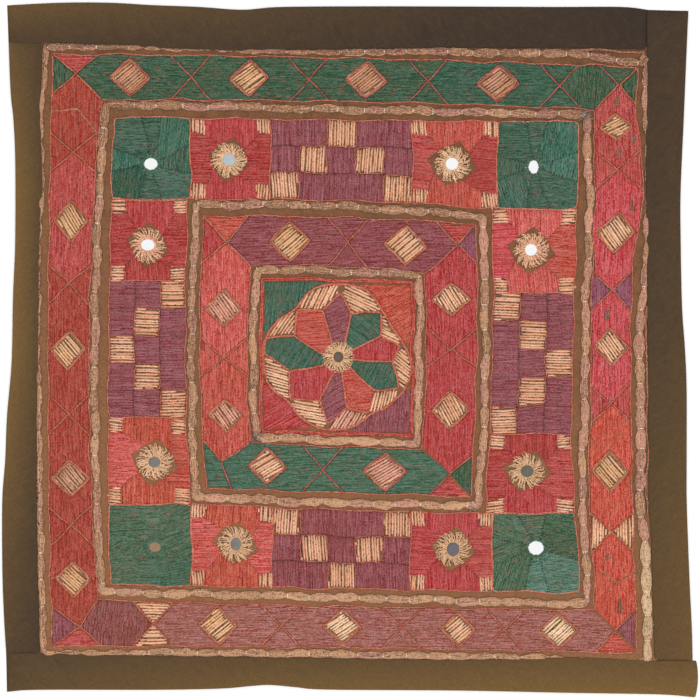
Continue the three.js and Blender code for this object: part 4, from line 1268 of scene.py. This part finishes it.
def makeMirrorSquare(name, side, quad):
    flosses, gaps, (wide, wideTurn, tall, tallTurn) = mirrorSquares[name]
    quad = uprightQuad(quad)
    eye = np.array(mirrorBook[name][:2])
    turns = ((tall, tallTurn), (wide, wideTurn), (tall, tallTurn + 180), (wide, wideTurn + 180))
    tips = [polar(eye, *tip) for tip in turns]  # top, right, bottom and left of the window
    swell = lambda tip, after: eye + ((tip + after) / 2 - eye) * squarePlan["swell"]
    between = [swell(*pair) for pair in zip(tips, tips[1:] + tips[:1])]  # its sides swell between the tips
    at = lambda u, v: quadPoint(quad, u, v)
    spans = [squarePlan[end] * squarePlan["patch"] for end in ("smallest", "largest")]
    patches = {(u, v): rng.uniform(*spans, 4) for u in (0, 1) for v in (0, 1)}

    def corner(u, v, across, down):  # a point of the cream patch in corner u, v
        patch = patches[u, v]
        inner = across and down
        return at(abs(u - across * patch[2 if inner else 0]), abs(v - down * patch[3 if inner else 1]))

    bag = newBag()
    for i, floss in enumerate(flosses):
        here, there, level = squareCorners[i], squareCorners[(i + 1) % 4], i % 2 == 0
        loop = [corner(*here, level, not level), corner(*there, level, not level), corner(*there, 1, 1)]
        loop += [between[i], tips[i], between[i - 1], corner(*here, 1, 1)]
        lay = (90 if level else 0) + rng.normal(0, 4)
        embroider(bag, shrink(loop, -0.2), floss, lay, longest=squarePlan["longest"], coarse=gaps)
    windows = dict(zip(squareCorners, between[-1:] + between[:-1]))
    for u, v in patches:
        patch = [at(u, v), corner(u, v, 1, 0), corner(u, v, 1, 1), corner(u, v, 0, 1)]
        embroiderCream(bag, shrink(patch, 0.2), 90 - sideTurn[side] + rng.normal(0, 5))
        seam = [corner(u, v, 1, 1), windows[u, v]]
        outlineRun(bag, seam, floss="maroon", width=1.0, step=2.6, rise=1.1, lap=-0.5)
    for start, end in (((0, 0), (1, 0)), ((0, 1), (1, 1)), ((0, 0), (0, 1)), ((1, 0), (1, 1))):
        outlineRun(bag, [at(*start), at(*end)])
    return asPiece(stitchObject("square_stitching_" + name, bag), "mirror_square_" + name)


checkRows = ((2,), (1, 3), (0, 4))  # cream steps of each row, from the outer row in
checkFloss = {"top": "purple", "right": "purple", "bottom": "plum", "left": "purple"}
checkPlan = dict(steps=5, longest=14, creamGap=1.2, lineGap=0.2, fieldGap=0.1)
dottedSeam = dict(floss="maroon", step=2.4, lap=-0.4)


def makeCheckBlock(side, quad):
    lay, steps, rows = 90 - sideTurn[side], checkPlan["steps"], len(checkRows)
    at = lambda step, row: quadPoint(quad, step / steps, row / rows)
    bag = newBag()
    for row, creams in enumerate(checkRows):
        edges = sorted({0, steps} | set(creams) | {step + 1 for step in creams})
        for start, end in zip(edges, edges[1:]):
            cell = [at(start, row), at(end, row), at(end, row + 1), at(start, row + 1)]
            if start in creams:
                embroiderCream(bag, shrink(cell, checkPlan["creamGap"]), lay + rng.normal(0, 3))
                outlineRun(bag, shrink(cell, checkPlan["lineGap"]), True, width=1.2)
            else:
                loop, turn = shrink(cell, checkPlan["fieldGap"]), lay + rng.normal(0, 2)
                embroider(bag, loop, checkFloss[side], turn, longest=checkPlan["longest"])
    for row in range(1, rows):  # dotted seams between the steps
        outlineRun(bag, [at(0, row), at(steps, row)], width=1.1, **dottedSeam)
    for step in range(1, steps):
        outlineRun(bag, [at(step, 0), at(step, rows)], width=1.0, rise=1.3, **dottedSeam)
    for row in (0, rows):
        outlineRun(bag, [at(0, row), at(steps, row)])
    return asPiece(stitchObject("check_stitching_" + side, bag), "check_block_" + side)


squaresAt = {
    "top": ("top_left", "top_right"), "right": ("right_upper", "right_lower"),
    "bottom": ("bottom_left", "bottom_right"), "left": ("left_upper", "left_lower"),
}


def sideQuad(side, start, end):
    spots = ((start, 0), (end, 0), (end, 1), (start, 1))
    return np.array([bandPoint("mirrorBandOut", "mirrorBandIn", side, spot, share) for spot, share in spots])


for side, stops in mirrorStops.items():
    makeMirrorSquare(squaresAt[side][0], side, sideQuad(side, stops[0], stops[1]))
    makeMirrorSquare(squaresAt[side][1], side, sideQuad(side, stops[2], stops[3]))
    makeCheckBlock(side, sideQuad(side, stops[1], stops[2]))
print("mirror band made")


# Centre medallion: petals round the middle mirror, cream rim pieces and four corners

# a petal's tip: turn, radius, half width in degrees. Ring radius there and midway to the next tip. Floss and
# stitch turn. The line to the next petal: turn at the root, turn and radius at the shoulder. The rim piece
# after it: stitch turn and floss
petalColumns = (
    "turn", "tip", "broad", "ring", "crest", "floss", "lean", "root", "bend", "shoulder", "rimLean",
    "rimFloss",
)
petalRows = (
    (88, 65, 1, 74.5, 71.5, "purple", 20, 69, 72, 45, -25, "cream"),
    (46, 61, 1, 63, 61.5, "fir", -40, 29, 26, 47.5, -25, "cream"),
    (11, 63, 1, 68, 74, "crimson", 88, -8, -5, 54, -38, "cream"),
    (-28, 67, 1, 73, 71.5, "fir", 62, -39, -43, 50, 76, "cream"),
    (-61, 63, 1, 65, 72, "coral", 6, -69, -82, 51, 58, "blush"),
    (-99, 66, 1, 72.5, 73, "purple", 30, -95, -115, 48.5, -10, "cream"),
    (-139, 64, 1, 66.5, 76.5, "crimson", 88, -141, -165, 51, -16, "cream"),
    (-188, 74, 6, 75.5, 71.5, "fir", 62, -186, -207, 48.5, 55, "cream"),
    (-228, 63, 1, 64.5, 72, "coral", 4, -238, -252, 49.5, 64, "cream"),
)
petalBook = [dict(zip(petalColumns, row)) for row in petalRows]
medallionPlan = dict(
    centre=(-11, -7), root=13.5, gap=1.0, rimGap=1.4, tipGap=1.6, arcGap=1.3, longest=11,
    corners=(  # floss, stitch turn and where the corner meets the ring, from top left clockwise
        ("fir", 84, 161, 101), ("scarlet", 24, 80, 12),
        ("purple", 86, -26, -79), ("crimson", 28, -112, -160),
    ),
)


def makeMedallion():
    bag = newBag()
    plan = medallionPlan
    centre, gap = plan["centre"], plan["gap"]
    following = petalBook[1:] + [dict(petalBook[0], turn=petalBook[0]["turn"] - 360)]
    knots = []
    for petal, after in zip(petalBook, following):
        knots += [(petal["turn"], petal["ring"]), ((petal["turn"] + after["turn"]) / 2, petal["crest"])]
    knots = np.array([(turn + lap, radius) for lap in (360, 0, -360) for turn, radius in knots])[::-1]
    ringAt = lambda turn, out=0.0: polar(centre, np.interp(turn, knots[:, 0], knots[:, 1]) + out, turn)
    ring = [ringAt(turn) for turn in np.arange(180, -180, -8)]
    for i, (petal, after) in enumerate(zip(petalBook, following)):
        before, lap = petalBook[i - 1], 360 if i == 0 else 0
        begin, finish = petal["turn"] - petal["broad"], after["turn"] + after["broad"]
        loop = [
            polar(centre, plan["root"], before["root"] + lap),
            polar(centre, before["shoulder"], before["bend"] + lap),
            polar(centre, petal["tip"], petal["turn"] + petal["broad"]), polar(centre, petal["tip"], begin),
            polar(centre, petal["shoulder"], petal["bend"]), polar(centre, plan["root"], petal["root"]),
        ]
        embroider(bag, shrink(loop, gap), petal["floss"], petal["lean"], longest=plan["longest"])
        outlineRun(bag, loop[1:], floss="rust", width=3.6, rise=0.8)
        outlineRun(bag, loop[1:])
        arc = [ringAt(turn) for turn in np.linspace(begin - 0.5, finish + 0.5, 8)]
        rim = [loop[3]] + arc + [polar(centre, after["tip"], finish), loop[4]]
        embroiderCream(bag, shrink(rim, plan["rimGap"]), petal["rimLean"], petal["rimFloss"])
    outlineRun(bag, ring, True, floss="rust", width=4.0, rise=0.8)
    outlineRun(bag, ring, True)
    for i, (floss, degrees, start, end) in enumerate(plan["corners"]):
        point = frameCorner("centreSquare", i)
        tip = point - np.sign(point - centre) * plan["tipGap"]
        arc = [ringAt(turn, plan["arcGap"]) for turn in np.linspace(start, end, 9)]
        first, last = arc[0], arc[-1]
        if abs(last[0] - tip[0]) < abs(first[0] - tip[0]):  # the run ends on an upright side
            loop = arc + [(tip[0], last[1]), tip, (first[0], tip[1])]
        else:
            loop = arc + [(last[0], tip[1]), tip, (tip[0], first[1])]
        embroider(bag, shrink(loop, 0.2), floss, degrees)
    square = [edgeRun("centreSquare", side, 8)[:-1] for side in ("top", "right")]
    square += [edgeRun("centreSquare", side, 8)[:0:-1] for side in ("bottom", "left")]
    square = np.concatenate(square)
    outlineRun(bag, square, True, floss="scarlet", width=2.8)
    outlineRun(bag, shrink(square, -plan["tipGap"]), True, floss="coral", width=2.6, rise=1.1)
    return asPiece(stitchObject("medallion_stitching", bag), "centre_medallion")


makeMedallion()
print("medallion made")


# Couched cords: crinkled strands bundled over a core and tied down at short steps

yarnBook = {
    "tan": dict(light=(222, 172, 132), deep=(112, 74, 54), aged=(168, 121, 91)),
    "dusty": dict(light=(224, 168, 138), deep=(114, 74, 60), aged=(170, 118, 96)),
    "flax": dict(light=(234, 200, 158), deep=(140, 106, 78), aged=(190, 152, 116)),
}
yarnPlan = dict(ply=2.8, grains=900.0, patches=60.0, relief=0.0002, strength=0.8, sheen=0.15, gloss=0.2)
yarnMaterials = [threadMaterial("yarn_" + name, **lot, plan=yarnPlan) for name, lot in yarnBook.items()]
cordPlan = dict(
    step=1.8, belly=9.0, waist=3.4, height=3.0, shortest=20.0, longest=28.0, fat=(0.9, 1.08), drift=0.35,
    tone=(0.5, 0.1), deepest=0.25, palest=0.75, coreShade=0.3,
    strands=7, spill=0.82, thick=0.8, uneven=(0.85, 1.15), crinkle=0.4, smooth=(0.4, 0.6, 0.4),
    lift=0.1, liftRough=0.25, bundleTint=0.2, strandTint=0.22, floor=0.9,
    hidden=1.0, open=3.6, hem=1.3,  # height left under the strip, how much more beside it, the run between
    tieShare=0.85, tieFoot=1.3, tieLean=0.5, tieClear=0.4, above=0.3, darns=26, darnReach=(2.6, 3.2),
    hairSpill=0.8, hairClear=1.0, hairLength=(0.6, 1.3), hairSlant=0.45,
)
cordCore = np.array(((0.42, 0.0), (0.46, 0.45), (0.25, 0.85), (-0.25, 0.85), (-0.46, 0.45), (-0.42, 0.0)))
cordTone = {  # how much lighter each side is on the inner cords and on the outer one, share of pinker bundles
    "top": (-0.04, -0.16, 0.25), "right": (0.2, 0.14, 0.75),
    "bottom": (0.3, 0.24, 0.2), "left": (0.06, 0.12, 0.3),
}
hairHighlightsAndShades = (("oat", 40.0), ("drab", 36.0))  # light hairs are painted highlights and dark ones painted shade in the crevices, one hair to so many mm2
# corners where a cord has been mended
cordDarns = {"cordSecond": (235.5, 233), "cordThird": (125.5, -155), "cordCentre": (-92, -86)}
# y and how wide the outer cord is on the right
outerWide = ((-295, 1.0), (-272, 1.24), (25, 1.24), (60, 1.0))
outerFlax = -190  # below this y the outer cord is paler on the right
outerInset = {  # share along the side, how far the outer cord's middle lies inside the strip's edge
    "top": (
        (0, 5), (0.06, 2), (0.11, 0.8), (0.16, -1.2), (0.25, -3), (0.32, -2.7), (0.37, 0), (0.44, 0.5),
        (0.51, 2.2), (0.6, 2), (0.69, 4), (0.88, 4.8), (0.95, 11), (1, 13),
    ),
    "right": (
        (0, 2), (0.02, 0.2), (0.1, -0.5), (0.13, -2.5), (0.2, -4), (0.25, -4), (0.28, -1.5), (0.33, -1.2),
        (0.36, 0.5), (0.39, 2.5), (0.42, 6), (0.51, 8.3), (0.63, 6.7), (0.76, 8.8), (0.8, 5.7),
        (0.93, 5), (1, 6),
    ),
    "bottom": (
        (0, 0), (0.04, -1.5), (0.07, -1), (0.14, 0.5), (0.2, 2.5), (0.28, 3.5), (0.35, 3), (0.46, 4),
        (0.55, 2.2), (0.62, 3.5), (0.73, 2.8), (0.78, 0.5), (0.82, -1.5), (0.85, -4.5), (0.97, -4.5), (1, 2),
    ),
    "left": (
        (0, 2), (0.04, 0.5), (0.12, -1), (0.18, -2.6), (0.22, -3), (0.25, -2), (0.31, -2.4), (0.52, -2.4),
        (0.56, -0.4), (0.68, 1), (0.75, 2), (1, 2),
    ),
}


def cordPath(frameName):  # the cord's middle, how far inside the strip's edge it lies, and its length
    outer = frameName == "outer"
    count, trim, sway = (120, 0.008, 0.4) if outer else (60, 0.006, 1.0)
    runs, insets = [], []
    for side in ("top", "right", "bottom", "left"):
        run = edgeRun("seam" if outer else frameName, side, count, trim, 1 - trim)
        inset = np.full(count, 50.0)  # clear of the strips
        if outer:
            share = np.linspace(trim, 1 - trim, count)
            inset = tableAt(outerInset[side], share)
            run[:, 1 - sideRuns[side][2]] -= sideRuns[side][3] * (inset + tableAt(stripSway[side], share))
        onward = -1 if side in ("bottom", "left") else 1  # clockwise round the cloth
        runs.append(run[::onward])
        insets.append(inset[::onward])
    loop = np.concatenate(runs)
    loop = loop + handSway(loop) * sway
    loop = np.concatenate((loop, loop[:1]))
    insets = np.concatenate(insets + [insets[0][:1]])
    reach = runLengths(loop)
    at = np.linspace(0, reach[-1], int(reach[-1] / cordPlan["step"]), endpoint=False)
    return pointsAlong(loop, reach, at), np.interp(at, reach, insets), reach[-1]


def plumpCord(frameName):  # the cord's run, with plump bundles between its ties
    plan, outer = cordPlan, frameName == "outer"
    path, inset, length = cordPath(frameName)
    way = np.roll(path, -1, axis=0) - np.roll(path, 1, axis=0)
    way /= np.linalg.norm(way, axis=1, keepdims=True)
    at = np.arange(len(path)) * length / len(path)
    marks = [0.0]
    while marks[-1] < length - plan["longest"]:
        marks.append(marks[-1] + rng.uniform(plan["shortest"], plan["longest"]))
    marks = np.array(marks + [length])
    bundle = np.searchsorted(marks, at, side="right") - 1
    share = (at - marks[bundle]) / (marks[bundle + 1] - marks[bundle])
    plump = np.sin(np.pi * np.clip(share, 0.02, 0.98)) ** 0.6
    fatness = rng.uniform(*plan["fat"], len(marks))[bundle]
    width = (plan["waist"] + (plan["belly"] - plan["waist"]) * plump) * fatness
    height = plan["height"] * (0.5 + 0.5 * plump) * fatness
    shift = rng.normal(0, plan["drift"], len(marks))[bundle] * plump

    level = np.where(way[:, 0] > 0, "top", "bottom")
    upright = np.where(way[:, 1] < 0, "right", "left")
    heading = np.where(np.abs(way[:, 1]) > np.abs(way[:, 0]), upright, level)
    lighterBySide, dusty = (np.array([cordTone[run][column] for run in heading]) for column in (int(outer), 2))
    hue = (rng.random(len(marks))[bundle] < dusty).astype(int)  # place in the yarn book
    if outer:
        hue[(heading == "right") & (path[:, 1] < outerFlax)] = 2
        width *= np.where(heading == "right", tableAt(outerWide, path[:, 1]), 1)
    tone = np.clip(rng.normal(*plan["tone"], len(marks)), plan["deepest"], plan["palest"])[bundle] + lighterBySide
    return dict(
        path=path, inset=inset, length=length, way=way, side=leftOf(way), at=at, marks=marks, bundle=bundle,
        width=width, height=height, shift=shift, hue=hue, tone=tone,
    )


def cordTubes(cord):  # way across and height of the points round each tube at each station, and its tint
    plan, stations = cordPlan, len(cord["path"])
    width, height, tone = cord["width"], cord["height"], cord["tone"]
    coreUp = clothTop + cordCore[None, :, 1] * height[:, None]
    # the core between and under the strands is painted deeper: painted shade in the crevices
    tubes = [(cordCore[None, :, 0] * width[:, None], coreUp, tone - plan["coreShade"])]
    for place in np.linspace(-plan["spill"], plan["spill"], plan["strands"]):
        crinkle = np.convolve(rng.normal(0, plan["crinkle"], stations), plan["smooth"], "same")
        crown = clothTop + height * math.sqrt(1 - place**2) + plan["lift"]
        crown = crown + rng.normal(0, plan["liftRough"], stations)
        middle = place * 0.5 * width + crinkle
        thick = plan["thick"] * rng.uniform(*plan["uneven"], stations)
        across = np.stack((middle + thick, middle, middle - thick), axis=1)
        up = np.stack((crown - plan["thick"], crown, crown - plan["thick"]), axis=1)
        tints = tone + rng.normal(0, plan["bundleTint"], len(cord["marks"]))[cord["bundle"]]
        tints = tints + rng.normal(0, plan["strandTint"], stations)
        tubes.append((across, np.maximum(up, plan["floor"]), tints))
    return tubes


def tubeArrays(cord):
    path, plan = cord["path"], cordPlan
    stations, first = len(path), 0
    points, faces, strands, slots = [], [], [], []
    for across, up, tints in cordTubes(cord):
        around = across.shape[1]
        across = across + cord["shift"][:, None]
        flat = path[:, None] + cord["side"][:, None] * across[..., None]
        shown = np.clip((cord["inset"][:, None] - across) / plan["hem"], 0, 1)
        up = np.minimum(up, plan["hidden"] + plan["open"] * shown)  # tucked under the strip
        points.append(np.concatenate((flat, up[..., None]), axis=2).reshape(-1, 3))
        here = first + np.arange(stations * around).reshape(stations, around)
        after = np.roll(here, -1, axis=0)
        faces.append(gridTris(here, after, np.roll(after, -1, axis=1), np.roll(here, -1, axis=1)))
        slots.append(np.tile(np.repeat(cord["hue"], around), 2))
        strand = np.zeros((stations, around, 3))
        strand[..., 0] = cord["at"][:, None]
        strand[..., 1] = np.linspace(-1, 1, around)[None]
        strand[..., 2] = np.clip(tints, 0, 1.2)[:, None]
        strands.append(strand.reshape(-1, 3))
        first += stations * around
    return points, faces, strands, slots


def sewTies(bag, cord):
    path, side, plan = cord["path"], cord["side"], cordPlan
    for mark in cord["marks"][:-1]:
        if rng.random() >= plan["tieShare"]:  # some ties have worn away
            continue
        i = int(mark / cord["length"] * len(path)) % len(path)
        crown, foot = clothTop + cord["height"][i] + plan["above"], plan["tieFoot"]
        lean = cord["way"][i] * rng.normal(0, plan["tieLean"])
        arch = ((-0.55, foot), (-0.2, crown), (0.2, crown), (0.55, foot))  # share across, height
        ties = [(across * cord["width"][i] + cord["shift"][i], up) for across, up in arch]
        for (near, nearUp), (far, farUp) in zip(ties, ties[1:]):
            if far < cord["inset"][i] - plan["tieClear"]:  # as far as the strip leaves the cord open
                start, end = path[i] + side[i] * near - lean, path[i] + side[i] * far + lean
                sew(bag, [start], [end], "pale", 1.5, 0.5, nearUp, farUp, tint=0.75)


def sewHairHighlightsAndShades(bag, cord):
    plan = cordPlan
    for floss, area in hairHighlightsAndShades:
        count = int(cord["length"] * plan["belly"] / area)
        picks = rng.integers(0, len(cord["path"]), count)
        place = rng.uniform(-plan["hairSpill"], plan["hairSpill"], count)
        off = place * 0.5 * cord["width"][picks] + cord["shift"][picks]
        kept = off < cord["inset"][picks] - plan["hairClear"]
        picks, place, off = picks[kept], place[kept], off[kept]
        path, way, side, height = (cord[part][picks] for part in ("path", "way", "side", "height"))
        middle = path + side * off[:, None]
        hair = way * rng.uniform(*plan["hairLength"], (len(picks), 1))
        hair = hair + side * rng.normal(0, plan["hairSlant"], (len(picks), 1))
        up = clothTop + height * np.sqrt(1 - place**2) + plan["above"]
        sew(bag, middle - hair, middle + hair, floss, 0.9, 0.5, up, up, tint=0.6, kind="flecks")


def makeCord(frameName, node):
    cord = plumpCord(frameName)
    points, faces, strands, slots = tubeArrays(cord)
    bag = newBag()
    sewTies(bag, cord)
    if frameName in cordDarns:
        shape, (scatter, reach) = (cordPlan["darns"], 2), cordPlan["darnReach"]
        start = np.array(cordDarns[frameName]) + rng.normal(0, scatter, shape)
        sew(bag, start, start + rng.normal(0, reach, shape), "ash", 1.3, 1.0, 3.4, 3.4)
    sewHairHighlightsAndShades(bag, cord)
    tiePoints, tieFaces, tieStrands, tieMaterials, tieSlots = stitchArrays(bag)
    made = makeObject(
        "couched_" + node, np.concatenate(points + [tiePoints]),
        np.concatenate(faces + [tieFaces + sum(map(len, points))]), yarnMaterials + tieMaterials,
        np.concatenate(slots + [tieSlots + len(yarnMaterials)]), np.concatenate(strands + [tieStrands]),
    )
    return asPiece(made, node)


cordNodes = {
    "outer": "cord_outer", "cordSecond": "cord_second",
    "cordThird": "cord_third", "cordCentre": "cord_centre",
}
for frameName, node in cordNodes.items():
    makeCord(frameName, node)
print("cords made")


# Floor, light and camera

floorMaterial, floorTree, floorSurface = newMaterial("paleFloor")
fill(floorTree, floorSurface, Base_Color=(0.9, 0.9, 0.9, 1), Roughness=0.9)
bpy.ops.mesh.primitive_plane_add(size=8, location=(0, 0, 0))
floor = bpy.context.object
floor.name = "studioFloor"
floor.data.materials.append(floorMaterial)

lightPlan = dict(sky=0.95, sun=0.8, softness=40, tilt=38, turn=40)  # angles in degrees
world = bpy.data.worlds.new("studioLight")
bpy.context.scene.world = world
world.use_nodes = True
background = world.node_tree.nodes["Background"]
background.inputs["Color"].default_value = (1, 1, 1, 1)
background.inputs["Strength"].default_value = lightPlan["sky"]
sun = bpy.data.lights.new("softKey", "SUN")
sun.energy = lightPlan["sun"]
sun.angle = math.radians(lightPlan["softness"])
sunObject = bpy.data.objects.new("softKey", sun)
sunObject.rotation_euler = (math.radians(lightPlan["tilt"]), 0, math.radians(lightPlan["turn"]))
bpy.context.scene.collection.objects.link(sunObject)

cameraPlan = dict(height=4.0, view=0.7, x=0.00055, y=0.0, sensor=36)
camera = bpy.data.cameras.new("overhead")
camera.sensor_width = cameraPlan["sensor"]
camera.lens = cameraPlan["sensor"] * cameraPlan["height"] / cameraPlan["view"]
camera.clip_end = 20
cameraObject = bpy.data.objects.new("overhead", camera)
cameraObject.location = (cameraPlan["x"], cameraPlan["y"], cameraPlan["height"])
bpy.context.scene.collection.objects.link(cameraObject)
bpy.context.scene.camera = cameraObject
bpy.context.scene.view_settings.view_transform = "Standard"
print("floor, light and camera made")

print("triangles in all", sum(triangles.values()), "and in the fullest piece", max(triangles.values()))
